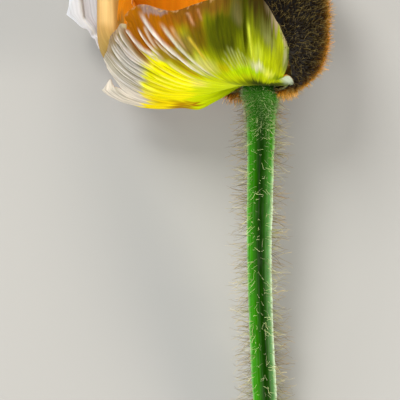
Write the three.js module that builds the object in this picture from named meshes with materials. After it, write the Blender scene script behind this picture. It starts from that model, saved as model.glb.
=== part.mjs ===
// A poppy flower bursting from its bud, cut with a length of stem and laid down on a table.
// Millimetres, +Z up. The stem points along -Y and the bloom opens towards +Y and -X.
//
// The bloom is built round its own axis, which is level: `up` is measured along it from the receptacle's foot,
// `out` away from it, and `turn` round it, in degrees from +X (0) over the upper side (90) to -X (180) and on
// to the table side (270).
import * as THREE from "three";

// Driving dimensions.
const AXIS_HEIGHT = 10.4; // from the table to the bloom's axis
const RECEPTACLE_OUT = 2.35;
const RECEPTACLE_UP = 1.6;
const CLAW_OUT = 2.7; // where petals and sepals leave the receptacle
const TIP_OUT = 0.8; // how near the axis a fully closed petal would end
const SEAT_GAP = 0.35; // between a piece and what carries it
const SEPAL_CLAW_UP = -0.35;
const OUTER_CLAW_UP = 0.45;
const INNER_CLAW_UP = 1.15;
const PETAL_THICKNESS = 0.4;
const SEPAL_THICKNESS = 0.5;
const STAMEN_COUNT = 20;
const STAMEN_RING_OUT = 1.95;
const STAMEN_WAIST_OUT = 3.1; // where the filaments clear the ovary's foot
const STAMEN_WAIST_UP = 1.6;
const ANTHER_LENGTH = 1.9;
const ANTHER_RADIUS = 0.56;
const FILAMENT_RADIUS = 0.2;

// How fine the solids are.
const PETAL_COLUMNS = 26;
const PETAL_ROWS = 12;
const SEPAL_COLUMNS = 18;
const SEPAL_ROWS = 13;
const STEM_SIDES = 14;
const STAMEN_SIDES = 5;
const OVARY_SIDES = 16;
const STEM_PLAIN_STEPS = 8; // rings along the stretch of stem that has one radius
const NORMAL_STEP = 1e-3;

// How a rib's features are spread from its claw to its rim.
const SWEEP_POWER = 1.8; // a sweep comes mostly near the rim
const FLARE_POWER = 18; // a flare comes at the very rim
const DIP_POWER = 0.7; // a dip is deepest near the claw
const DIP_SHARPNESS = 1.5;
const ROW_POWER = 1.25; // rows of a sheet lie closer together near the claw

const radians = THREE.MathUtils.degToRad;

/** One rib of a petal or sepal, from its claw to its rim.
 *  turn: where it stands round the axis. out, up: its widest place.
 *  close: how far its curve goes; 90 ends at the widest place, and 180 would close over the bloom.
 *  full: 2 for an elliptic bowl, more for a squarer one. dip: how far the bowl hangs below its claw.
 *  crown: the height from the widest place to the closed top. flare: how far the rim turns out.
 *  sweep: how far round the axis the rib runs on its way up, in degrees. */
const rib = (
  turn,
  out,
  up,
  close,
  { full = 2, dip = 0, crown = 30, flare = 0, sweep = 0 } = {},
) => [turn, out, up, close, full, dip, crown, flare, sweep];

const FRONT_RIBS = [
  rib(184, 23.9, -0.2, 90, { dip: 3.4 }),
  rib(179, 21.8, 0.8, 90, { dip: 3, full: 2.2 }),
  rib(175, 24.3, 7, 74, { dip: 2.4, full: 2.8 }),
  rib(168, 24.3, 8, 74, { dip: 1.9, full: 2.3 }),
  rib(160, 24.3, 9.4, 78, { dip: 1.4 }),
  rib(151, 24.2, 10.8, 81, { dip: 0.9 }),
  rib(144, 23.6, 12.6, 87, { dip: 0.6 }),
  rib(132, 20.2, 12.9, 87, { dip: 0.4 }),
  rib(119, 15.2, 11.8, 94, { dip: 0.5, crown: 20 }),
  rib(104, 12.4, 10, 105, { crown: 20 }),
  rib(90, 11.5, 8.5, 104, { dip: 0.35, crown: 20 }),
  rib(77, 11.1, 7, 97, { dip: 0.3, crown: 20, full: 2.2 }),
  rib(67, 10.6, 6, 91, { crown: 20, full: 2.4 }),
];

const BACK_RIBS = [
  rib(190, 25.4, 8.6, 91.5, { full: 2.8, flare: 4.2 }),
  rib(196, 25.9, 9, 105, { full: 2.5, flare: 4.4 }),
  rib(203, 22.4, 9, 112, { flare: 3 }),
  rib(212, 16.6, 9, 116, { flare: 1 }),
  rib(225, 12.6, 9.5, 118, { flare: 0.6 }),
  rib(239, 10.3, 9.5, 118),
  rib(249, 9.5, 9.5, 114, { crown: 26 }),
  rib(259, 9.1, 9.5, 120, { crown: 12 }),
  rib(280, 9, 9.5, 122, { crown: 12 }),
  rib(304, 9, 9.5, 122, { crown: 12 }),
  rib(328, 8.9, 9.5, 122, { crown: 12 }),
];

const LEFT_RIBS = [
  rib(158.5, 23, 10, 99, { full: 2.4, crown: 40 }),
  rib(167, 24.3, 10, 107, { full: 2.3, crown: 40 }),
  rib(176, 24.4, 10, 110, { full: 2.3, crown: 40 }),
  rib(187, 23.9, 10, 111, { full: 2.3, crown: 40 }),
  rib(198, 21.8, 10, 110, { full: 2.2, crown: 40 }),
  rib(209, 15.8, 9.5, 110, { crown: 40 }),
  rib(221, 11.9, 9.5, 110, { crown: 36 }),
  rib(234, 9.9, 9.5, 106, { crown: 34 }),
];

const RIGHT_RIBS = [
  rib(98, 8.4, 9, 118, { crown: 14 }),
  rib(70, 8.6, 9, 128, { crown: 12 }),
  rib(35, 8.7, 9.5, 132, { crown: 12 }),
  rib(0, 8.6, 9.5, 132, { crown: 12 }),
  rib(-35, 8.2, 9.5, 130, { crown: 12 }),
  rib(-68, 8.1, 9.5, 122, { crown: 12 }),
  rib(-98, 7.8, 9.5, 120, { crown: 12 }),
  rib(-118, 8.1, 9.5, 114, { crown: 28 }),
];

const CAP_RIBS = [
  rib(44, 9.5, 9.5, 172, { crown: 13, sweep: 120, full: 2.4 }),
  rib(26, 9.5, 9.5, 172, { crown: 13, sweep: 74, full: 2.7 }),
  rib(4, 9.5, 9.5, 172, { crown: 13, sweep: 32, full: 2.8 }),
  rib(-22, 9.7, 9.5, 172, { crown: 13, full: 2.5 }),
  rib(-50, 10, 9.5, 172, { crown: 13, full: 2.2 }),
  rib(-76, 10.2, 9.5, 172, { crown: 13 }),
  rib(-100, 10.2, 9.5, 172, { crown: 13 }),
];

const FALLEN_CAP_RIBS = [
  rib(209, 20.6, 9.5, 108, { dip: 1, crown: 22 }),
  rib(216, 17.5, 9.5, 112, { dip: 1.2, crown: 22 }),
  rib(226, 14.4, 9.5, 116, { dip: 1.2, crown: 22 }),
  rib(238, 12.1, 9.5, 116, { dip: 1, crown: 22 }),
  rib(252, 10.8, 9.5, 110, { dip: 0.6, crown: 22 }),
];

// The stem's middle line, from its cut end on the table up to the receptacle: [aside, up, above the bloom's axis].
const STEM_RADIUS = 1.8;
const STEM_LINE = [
  [3.4, -78, STEM_RADIUS - AXIS_HEIGHT - 0.1],
  [2.3, -67, -8.4],
  [1.3, -56, -7.3],
  [0.6, -46.5, -6.1],
  [0.15, -38, -4.9],
  [-0.15, -30, -3.7],
  [-0.25, -23, -2.6],
  [-0.15, -16, -1.6],
  [-0.05, -9, -0.7],
  [0, -3, -0.1],
  [0, RECEPTACLE_UP, 0],
];
// Its radius, at a distance back from the receptacle's top: [back, radius].
const STEM_RADII = [
  [0, RECEPTACLE_OUT - 0.35],
  [0.4, RECEPTACLE_OUT],
  [1.4, RECEPTACLE_OUT],
  [2.2, 2.42],
  [3.4, 2.3],
  [6, 2.1],
  [12, 2],
  [19, 1.95],
  [26, 1.85],
  [33, 1.82],
];

// The ovary from its foot to the stigma disc that caps it: [radius, height].
const OVARY_PROFILE = [
  [0, 0],
  [1.15, 0],
  [1.9, 0.7],
  [2.75, 2.2],
  [3.1, 4],
  [2.95, 5.6],
  [2.35, 7],
  [2.1, 7.5],
  [2.85, 7.9],
  [2.9, 8.4],
  [1.6, 8.8],
  [0, 9],
];

/** Smooth (Catmull-Rom) interpolation through equal-length rows of numbers, at u from 0 to 1. */
function through(rows, u) {
  const place = u * (rows.length - 1);
  const start = Math.min(Math.floor(place), rows.length - 2);
  const t = place - start;
  const row = (i) => rows[Math.min(Math.max(i, 0), rows.length - 1)];
  const [a, b, c, d] = [row(start - 1), row(start), row(start + 1), row(start + 2)];
  return b.map((_, k) => {
    const slopeIn = (c[k] - a[k]) / 2;
    const slopeOut = (d[k] - b[k]) / 2;
    const rise = c[k] - b[k];
    return b[k] + t * (slopeIn + t * (3 * rise - 2 * slopeIn - slopeOut + t * (slopeIn + slopeOut - 2 * rise)));
  });
}

/** The point of a ribbed sheet at u across it and v from its claw to its rim. */
function sheetPoint(ribs, clawUp, u, v) {
  const [turn, out, up, close, full, dip, crown, flare, sweep] = through(ribs, u);
  const angle = radians(close * v);
  const outward = Math.pow(Math.max(Math.sin(angle), 0), 2 / full);
  const upward = Math.pow(Math.abs(Math.cos(angle)), 2 / full);
  const below = angle < Math.PI / 2;
  const start = below ? CLAW_OUT : TIP_OUT;
  const r = start + (out - start) * outward + flare * Math.pow(v, FLARE_POWER);
  const bowl = below ? up - (up - clawUp) * upward : up + crown * upward;
  const hang = Math.max(Math.sin(Math.PI * Math.pow(v, DIP_POWER)), 0);
  const y = bowl - dip * Math.pow(hang, DIP_SHARPNESS);
  const phi = radians(turn + sweep * Math.pow(v, SWEEP_POWER));
  return new THREE.Vector3(r * Math.cos(phi), y, r * Math.sin(phi));
}

/** The sheet's normal, from neighbouring points. */
function sheetNormal(ribs, clawUp, u, v) {
  const h = NORMAL_STEP;
  const at = (s, t) => sheetPoint(ribs, clawUp, s, t);
  const across = at(Math.min(u + h, 1), v).sub(at(Math.max(u - h, 0), v));
  const along = at(u, Math.min(v + h, 1)).sub(at(u, Math.max(v - h, h))); // never at the claw, where all ribs meet
  return across.cross(along).normalize();
}

/** A closed thin solid that follows a ribbed sheet, and rests on the table where it would reach below it. */
function sheet(ribs, clawUp, thickness, columns, rows) {
  const position = [];
  const index = [];
  const faces = [1, -1];
  for (const side of faces)
    for (let j = 0; j <= rows; j++)
      for (let i = 0; i <= columns; i++) {
        const u = i / columns;
        const v = Math.pow(j / rows, ROW_POWER);
        const p = sheetPoint(ribs, clawUp, u, v).addScaledVector(
          sheetNormal(ribs, clawUp, u, v),
          (side * thickness) / 2,
        );
        position.push(p.x, p.y, Math.max(p.z, -AXIS_HEIGHT));
      }
  const wide = columns + 1;
  const layer = wide * (rows + 1);
  const quad = (a, b, c, d) => index.push(a, b, c, a, c, d);
  for (let j = 0; j < rows; j++)
    for (let i = 0; i < columns; i++) {
      const a = j * wide + i;
      quad(a, a + 1, a + 1 + wide, a + wide);
      quad(layer + a, layer + a + wide, layer + a + 1 + wide, layer + a + 1);
    }
  const edge = (a, b) => quad(a, layer + a, layer + b, b);
  for (let i = 0; i < columns; i++) {
    edge(i, i + 1);
    edge(rows * wide + i + 1, rows * wide + i);
  }
  for (let j = 0; j < rows; j++) {
    edge((j + 1) * wide, j * wide);
    edge(j * wide + columns, (j + 1) * wide + columns);
  }
  return new THREE.BufferGeometry()
    .setAttribute("position", new THREE.Float32BufferAttribute(position, 3))
    .setIndex(index);
}

/** A turned profile of [radius, height] points, closed on its axis. */
const turned = (profile, sides) =>
  new THREE.LatheGeometry(profile.map(([r, h]) => new THREE.Vector2(r, h)), sides);

/** A turned profile bent so that its axis follows a curve, from the curve's start to its end. */
function bent(profile, sides, curve) {
  const geometry = turned(profile, sides);
  const place = geometry.getAttribute("position");
  const length = profile[profile.length - 1][1];
  const reference = new THREE.Vector3(1, 0, 0.2).normalize(); // runs along none of the curves
  for (let i = 0; i < place.count; i++) {
    const t = Math.min(Math.max(place.getY(i) / length, 0), 1);
    const ahead = curve.getTangentAt(t);
    const beside = reference.clone().addScaledVector(ahead, -reference.dot(ahead)).normalize();
    const across = beside.clone().cross(ahead);
    const p = curve.getPointAt(t).addScaledVector(beside, place.getX(i)).addScaledVector(across, place.getZ(i));
    place.setXYZ(i, p.x, p.y, Math.max(p.z, -AXIS_HEIGHT));
  }
  return geometry;
}

/** The stem with its receptacle: round, a little thicker under the bloom, and cut square at its foot. */
function stem() {
  const curve = new THREE.CatmullRomCurve3(STEM_LINE.map((p) => new THREE.Vector3(...p)));
  const length = curve.getLength();
  const [farBack] = STEM_RADII[STEM_RADII.length - 1];
  const profile = [
    [0, 0],
    [STEM_RADIUS, 0],
  ];
  for (let i = 1; i < STEM_PLAIN_STEPS; i++)
    profile.push([STEM_RADIUS, ((length - farBack) * i) / STEM_PLAIN_STEPS]);
  for (const [back, radius] of [...STEM_RADII].reverse()) profile.push([radius, length - back]);
  profile.push([0, length]);
  return bent(profile, STEM_SIDES, curve);
}

/** One stamen: a thin filament that leans out round the ovary, with its anther on top. */
function stamen(number) {
  const turn = radians((360 * number) / STAMEN_COUNT);
  const tall = 8.6 + 1.1 * Math.sin(2.4 * number); // uneven, as they grow
  const lean = 5 + 0.7 * Math.cos(1.7 * number);
  const foot = RECEPTACLE_UP + SEAT_GAP;
  const at = (out, up) => new THREE.Vector3(out * Math.cos(turn), up, out * Math.sin(turn));
  const curve = new THREE.CatmullRomCurve3([
    at(STAMEN_RING_OUT, foot),
    at(STAMEN_WAIST_OUT, foot + STAMEN_WAIST_UP),
    at((lean + STAMEN_WAIST_OUT) / 2 + 0.25, foot + tall / 2),
    at(lean, foot + tall),
  ]);
  const length = curve.getLength();
  const profile = [
    [0, 0],
    [FILAMENT_RADIUS, 0],
    [FILAMENT_RADIUS, length / 4],
    [FILAMENT_RADIUS, length / 2],
    [FILAMENT_RADIUS, length - ANTHER_LENGTH],
    [0.9 * ANTHER_RADIUS, length - 0.75 * ANTHER_LENGTH],
    [ANTHER_RADIUS, length - 0.25 * ANTHER_LENGTH],
    [0, length],
  ];
  return bent(profile, STAMEN_SIDES, curve);
}

const green = new THREE.MeshStandardMaterial({ color: "#3c8a28", roughness: 0.6, metalness: 0 });
const limeYellow = new THREE.MeshStandardMaterial({ color: "#d9d62a", roughness: 0.65, metalness: 0 });
const white = new THREE.MeshStandardMaterial({ color: "#ece6e2", roughness: 0.7, metalness: 0 });
const cream = new THREE.MeshStandardMaterial({ color: "#e8b85c", roughness: 0.65, metalness: 0 });
const orange = new THREE.MeshStandardMaterial({ color: "#f07c12", roughness: 0.65, metalness: 0 });
const brown = new THREE.MeshStandardMaterial({ color: "#3a2a12", roughness: 0.85, metalness: 0 });
const paleGreen = new THREE.MeshStandardMaterial({ color: "#9dbb4e", roughness: 0.6, metalness: 0 });
const pollen = new THREE.MeshStandardMaterial({ color: "#f0c325", roughness: 0.8, metalness: 0 });

const bloom = new THREE.Group();

/** Adds a named piece to the bloom. */
function add(name, geometry, material) {
  const mesh = new THREE.Mesh(geometry, material);
  mesh.name = name;
  bloom.add(mesh);
  return mesh;
}

const petal = (ribs, clawUp) => sheet(ribs, clawUp, PETAL_THICKNESS, PETAL_COLUMNS, PETAL_ROWS);
const sepal = (ribs) => sheet(ribs, SEPAL_CLAW_UP, SEPAL_THICKNESS, SEPAL_COLUMNS, SEPAL_ROWS);

add("stem", stem(), green);
add("petal_front", petal(FRONT_RIBS, OUTER_CLAW_UP), limeYellow);
add("petal_back", petal(BACK_RIBS, OUTER_CLAW_UP), white);
add("petal_left", petal(LEFT_RIBS, INNER_CLAW_UP), cream);
add("petal_right", petal(RIGHT_RIBS, INNER_CLAW_UP), orange);
add("sepal_right", sepal(CAP_RIBS), brown);
add("sepal_back", sepal(FALLEN_CAP_RIBS), brown);
add("ovary", turned(OVARY_PROFILE, OVARY_SIDES), paleGreen).position.y = RECEPTACLE_UP + SEAT_GAP;
for (let number = 1; number <= STAMEN_COUNT; number++)
  add(`stamen_${String(number).padStart(2, "0")}`, stamen(number), pollen);

// The origin is on the table, under the middle of the whole flower.
const box = new THREE.Box3().setFromObject(bloom);
const middle = box.getCenter(new THREE.Vector3());
bloom.position.set(-middle.x, -middle.y, -box.min.z);

const flower = new THREE.Group();
flower.add(bloom);

export default flower;
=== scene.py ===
"""A poppy flower bursting from its bud, cut with a length of stem and laid on a table.

The petals and sepals are thin sheets swept over ribs round the bloom's axis, which lies level. Lengths
are in millimetres in the bloom's own frame: x aside, y up along the bloom's axis and z above it. A piece is
turned to metres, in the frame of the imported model, when its mesh is made.
"""

import logging
import math
from collections.abc import Callable
from dataclasses import astuple, dataclass
from enum import Enum
from functools import cache, partial
from itertools import starmap

import bpy
import numpy as np
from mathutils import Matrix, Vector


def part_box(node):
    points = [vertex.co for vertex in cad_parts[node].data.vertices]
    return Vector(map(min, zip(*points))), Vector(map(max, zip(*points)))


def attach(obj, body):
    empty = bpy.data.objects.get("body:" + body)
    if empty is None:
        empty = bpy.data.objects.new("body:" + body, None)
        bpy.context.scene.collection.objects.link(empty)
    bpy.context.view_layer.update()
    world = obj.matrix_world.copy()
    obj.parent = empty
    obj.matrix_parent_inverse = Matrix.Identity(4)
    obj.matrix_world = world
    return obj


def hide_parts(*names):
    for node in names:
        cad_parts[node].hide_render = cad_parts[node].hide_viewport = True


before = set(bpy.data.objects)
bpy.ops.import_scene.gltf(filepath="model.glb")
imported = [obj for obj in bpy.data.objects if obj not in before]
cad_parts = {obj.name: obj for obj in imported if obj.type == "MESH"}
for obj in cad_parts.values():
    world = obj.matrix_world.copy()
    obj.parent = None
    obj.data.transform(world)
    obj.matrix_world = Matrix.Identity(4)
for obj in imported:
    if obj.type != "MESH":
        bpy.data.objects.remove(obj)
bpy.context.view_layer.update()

MM = 0.001
log = logging.getLogger("poppy")

Array = np.ndarray
Node = bpy.types.Node
Piece = bpy.types.Object
Adder = Callable[..., Node]


# --- Colours and nodes ---

MATH, VECTOR = "ShaderNodeMath", "ShaderNodeVectorMath"
SPLIT, JOIN = "ShaderNodeSeparateXYZ", "ShaderNodeCombineXYZ"
NOISE, MIX, LEVELS = "ShaderNodeTexNoise", "ShaderNodeMix", "ShaderNodeMapRange"
SHADER, BUMP = "ShaderNodeBsdfPrincipled", "ShaderNodeBump"
STORED, READ = "ShaderNodeAttribute", "GeometryNodeInputNamedAttribute"
STORE, MOVE = "GeometryNodeStoreNamedAttribute", "GeometryNodeSetPosition"
RANDOM, PLANT = "FunctionNodeRandomValue", "GeometryNodeInstanceOnPoints"


def linear(colour: str) -> Array:
    """An sRGB hex colour, such as "#a0b0c0", as linear red, green and blue."""
    parts = [int(colour[i : i + 2], 16) / 255 for i in (1, 3, 5)]
    return np.array([p / 12.92 if p <= 0.04045 else ((p + 0.055) / 1.055) ** 2.4 for p in parts])


def opaque(colour: str) -> tuple[float, ...]:
    """A hex colour as a colour socket takes it, in linear light with alpha 1."""
    return (*linear(colour), 1.0)


def tinted(base: Array, colour: str, share: Array) -> Array:
    """Linear colours with a hex colour mixed in, by its share at each place."""
    return base + share[..., None] * (linear(colour) - base)


def add_node(tree: bpy.types.NodeTree, kind: str, inputs: dict | tuple = (), **settings) -> Node:
    """Adds a node to a tree, with its settings, values and links.

    Args:
        tree: The tree that gets the node.
        kind: The node's type name.
        inputs: What its sockets take, by name or number or in order: a value, an output, a node whose first
            output in use feeds the socket, or a list of those.
        **settings: Properties of the node.

    Returns:
        The node.
    """
    node = tree.nodes.new(kind)
    for name, value in settings.items():
        setattr(node, name, value)
    for key, value in inputs.items() if isinstance(inputs, dict) else enumerate(inputs):
        named = [s for s in node.inputs if s.enabled and s.name == key]
        socket = named[0] if named else node.inputs[key]
        for source in value if isinstance(value, list) else [value]:
            if isinstance(source, Node):
                source = next(s for s in source.outputs if s.enabled)
            if isinstance(source, bpy.types.NodeSocket):
                tree.links.new(source, socket)
            else:
                socket.default_value = source
    return node


@dataclass(frozen=True)
class Finish:
    """What a surface is made of.

    Attributes:
        name: The real stuff's name.
    """

    name: str

    def surface(self, add: Adder) -> Node:
        """Adds the finish's nodes and gives back its shader."""
        raise NotImplementedError

    @cache
    def material(self) -> bpy.types.Material:
        """Builds the finish's material.

        Returns:
            The material, the same one each time.
        """
        material = bpy.data.materials.new(self.name)
        material.use_nodes = True
        material.node_tree.nodes.clear()
        add = partial(add_node, material.node_tree)
        add("ShaderNodeOutputMaterial", {"Surface": self.surface(add)})
        return material


@dataclass(frozen=True)
class Growth:
    """Many small things that grow from a mesh, made by Geometry Nodes.

    Attributes:
        finish: Their finish.
        seed: Which random growth.
    """

    finish: Finish
    seed: int

    SOCKETS = {
        int: "NodeSocketInt",
        float: "NodeSocketFloat",
        tuple: "NodeSocketVector",
        bpy.types.Material: "NodeSocketMaterial",
    }

    def sizes(self) -> dict:
        """What the tree's inputs are given, by name."""
        return {"Seed": self.seed, "Finish": self.finish.material()}

    def plant(self, add: Adder, given: bpy.types.bpy_prop_collection) -> Node:
        """Adds the nodes that grow them from the given inputs, and gives back the last one."""
        raise NotImplementedError

    def tree(self, sizes: dict) -> bpy.types.NodeTree:
        """Builds the node tree that grows them.

        Args:
            sizes: What its inputs will be given, by name.

        Returns:
            The tree.
        """
        tree = bpy.data.node_groups.new(type(self).__name__, "GeometryNodeTree")
        for way in ("INPUT", "OUTPUT"):
            tree.interface.new_socket("Geometry", in_out=way, socket_type="NodeSocketGeometry")
        for name, value in sizes.items():
            tree.interface.new_socket(name, in_out="INPUT", socket_type=self.SOCKETS[type(value)])
        add = partial(add_node, tree)
        given = add("NodeGroupInput").outputs
        dressing = {"Geometry": self.plant(add, given), "Material": given["Finish"]}
        add("NodeGroupOutput", {"Geometry": add("GeometryNodeSetMaterial", dressing)})
        return tree

    def grow(self, name: str, start: bpy.types.Mesh) -> Piece:
        """Grows them as a piece of their own.

        Args:
            name: The piece's name.
            start: The mesh that they grow from.

        Returns:
            The piece with a plain mesh, and no modifier.
        """
        sizes = self.sizes()
        piece = bpy.data.objects.new(name, start)
        bpy.context.scene.collection.objects.link(piece)
        modifier = piece.modifiers.new("growth", "NODES")
        modifier.node_group = self.tree(sizes)
        for socket in modifier.node_group.interface.items_tree:
            if socket.name in sizes:
                modifier[socket.identifier] = sizes[socket.name]
        graph = bpy.context.evaluated_depsgraph_get()
        mesh = bpy.data.meshes.new_from_object(
            piece.evaluated_get(graph), preserve_all_data_layers=True, depsgraph=graph
        )
        piece.modifiers.remove(modifier)
        piece.data = mesh
        mesh.name = name
        mesh.materials.clear()
        mesh.materials.append(sizes["Finish"])
        mesh.polygons.foreach_set("material_index", np.zeros(len(mesh.polygons), np.int32))
        return piece


# --- Smooth random waves ---

LATTICE = 256  # random values before a wave comes round again


def ease(t: Array) -> Array:
    """Smooth step from 0 to 1, clamped outside."""
    t = np.clip(t, 0.0, 1.0)
    return t * t * (3 - 2 * t)


def wave(x: Array, seed: int) -> Array:
    """Smooth random wave along a line.

    Args:
        x: Places along it, with one random value at each whole number.
        seed: Which wave.

    Returns:
        Heights from -1 to 1.
    """
    table = np.random.default_rng(seed).uniform(-1, 1, LATTICE)
    start = np.floor(x).astype(int)
    t = ease(x - start)
    return table[start % LATTICE] * (1 - t) + table[(start + 1) % LATTICE] * t


def swell(x: Array, y: Array, seed: int) -> Array:
    """Smooth random relief over a plane.

    Args:
        x: Places across it, with one random value at each whole number.
        y: Places along it, the same.
        seed: Which relief.

    Returns:
        Heights from -1 to 1.
    """
    table = np.random.default_rng(seed).uniform(-1, 1, (LATTICE, LATTICE))
    i, j = np.floor(x).astype(int), np.floor(y).astype(int)
    s, t = ease(x - i), ease(y - j)
    low, high = (
        table[i % LATTICE, k % LATTICE] * (1 - s) + table[(i + 1) % LATTICE, k % LATTICE] * s
        for k in (j, j + 1)
    )
    return low * (1 - t) + high * t


# --- The bloom's frame and its pieces ---

OVARY_FOOT = 1.95  # how far up the axis the ovary starts
LIFT = 0.02  # how far above the table a piece that would sink into it is kept


@dataclass(frozen=True)
class BloomFrame:
    """Where the bloom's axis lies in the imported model.

    Attributes:
        origin: The receptacle's foot on the axis, in metres.
    """

    origin: Array

    @classmethod
    def from_model(cls) -> "BloomFrame":
        """Finds the axis from the ovary, which is turned about it.

        Returns:
            The frame.
        """
        low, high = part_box("ovary")
        middle = (low + high) / 2
        return cls(np.array([middle.x, low.y - OVARY_FOOT * MM, middle.z]))

    @property
    def table(self) -> float:
        """The table's height in the bloom's frame, in millimetres."""
        return -self.origin[2] / MM

    def place(self, points: Array) -> Array:
        """Points of the bloom's frame, in millimetres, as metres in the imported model's frame."""
        return self.origin + np.asarray(points, float) * MM


BLOOM = BloomFrame.from_model()


def set_attribute(piece: Piece, name: str, values: Array, first: int = 0, rest: float = 0.0) -> None:
    """Stores a number, vector or colour for each vertex, by how many columns the values have.

    Args:
        piece: The piece.
        name: The attribute's name.
        values: The values of some vertices in a row.
        first: The first of those vertices.
        rest: What all others get.
    """
    kinds = {(): ("FLOAT", "value"), (3,): ("FLOAT_VECTOR", "vector"), (4,): ("FLOAT_COLOR", "color")}
    kind, key = kinds[values.shape[1:]]
    whole = np.full((len(piece.data.vertices), *values.shape[1:]), rest, np.float32)
    whole[first : first + len(values)] = values
    piece.data.attributes.new(name, kind, "POINT").data.foreach_set(key, whole.ravel())


def make_object(name: str, points: Array, faces: list, colours: Array, finish: Finish) -> Piece:
    """Makes a smooth mesh object at the origin, with its place in its mesh and nothing under the table.

    Args:
        name: The piece's name.
        points: Vertices in the bloom's frame, in millimetres.
        faces: Vertex numbers of each face.
        colours: A linear colour for each vertex, stored where the finishes look for it.
        finish: Its finish.

    Returns:
        The object, linked to the scene.
    """
    points[:, 2] = np.maximum(points[:, 2], BLOOM.table + LIFT)
    mesh = bpy.data.meshes.new(name)
    mesh.from_pydata(BLOOM.place(points).tolist(), [], faces)
    mesh.shade_smooth()
    mesh.update()
    mesh.materials.append(finish.material())
    piece = bpy.data.objects.new(name, mesh)
    bpy.context.scene.collection.objects.link(piece)
    set_attribute(piece, "pigment", np.concatenate([colours, np.ones((len(colours), 1))], axis=1))
    return piece


def set_uv(piece: Piece, name: str, places: Array) -> None:
    """Gives the piece a UV map.

    Args:
        piece: The piece.
        name: The map's name.
        places: A place for each vertex.
    """
    mesh = piece.data
    corners = np.empty(len(mesh.loops), int)
    mesh.loops.foreach_get("vertex_index", corners)
    mesh.uv_layers.new(name=name).data.foreach_set("uv", places[corners].astype(np.float32).ravel())


def carry(piece: Piece, slot: str, *nodes: str) -> None:
    """Lets a finished piece ride on the flower.

    Args:
        piece: The piece.
        slot: The record's material slot; not used.
        *nodes: The CAD nodes that it stands for.
    """
    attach(piece, "root")
    if nodes:
        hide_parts(*nodes)
    log.info("%s: %d faces", piece.name, len(piece.data.polygons))


def angles(sides: int) -> Array:
    """Evenly spaced angles round an axis."""
    return np.linspace(0, 2 * math.pi, sides, endpoint=False)


def run_along(points: Array) -> Array:
    """How far along a line each of its points lies."""
    return np.concatenate([[0], np.cumsum(np.linalg.norm(np.diff(points, axis=0), axis=1))])


# --- Ribbed sheets ---

CLAW_OUT = 2.7  # where petals and sepals leave the receptacle
TIP_OUT = 0.8  # how near the axis a fully closed petal would end
FLARE_POWER = 18  # a flare comes at the very rim
SWEEP_POWER = 1.8  # a sweep comes mostly near the rim
DIP_POWER = 0.7  # a dip is deepest near the claw
DIP_SHARPNESS = 1.5
BELLY_AT = 0.205  # how far along a rib its belly hangs lowest
BELLY_WIDE = 0.055
NORMAL_STEP = 1e-3
LENGTH_GRID = (9, 1001)  # ribs, and places along each, that a sheet's length is measured on


class Face(Enum):
    """Which side of a petal or sepal."""

    OUTSIDE = 1
    INSIDE = -1


@dataclass(frozen=True)
class Rib:
    """One rib of a petal or sepal, from its claw to its rim.

    Attributes:
        turn: Where it stands round the axis, in degrees from +x over +z.
        out: How far from the axis its widest place is.
        up: How far up the axis that place is.
        close: How far its curve goes: 90 ends at the widest place, and 180 would close over the bloom.
        full: 2 for an elliptic bowl, more for a squarer one.
        dip: How far the bowl hangs below its claw.
        crown: The height from the widest place to the closed top.
        flare: How far the rim turns out.
        sweep: How far round the axis the rib runs on its way up, in degrees.
        belly: How far it sags close to its claw.
    """

    turn: float
    out: float
    up: float
    close: float
    full: float = 2.0
    dip: float = 0.0
    crown: float = 30.0
    flare: float = 0.0
    sweep: float = 0.0
    belly: float = 0.0


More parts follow.
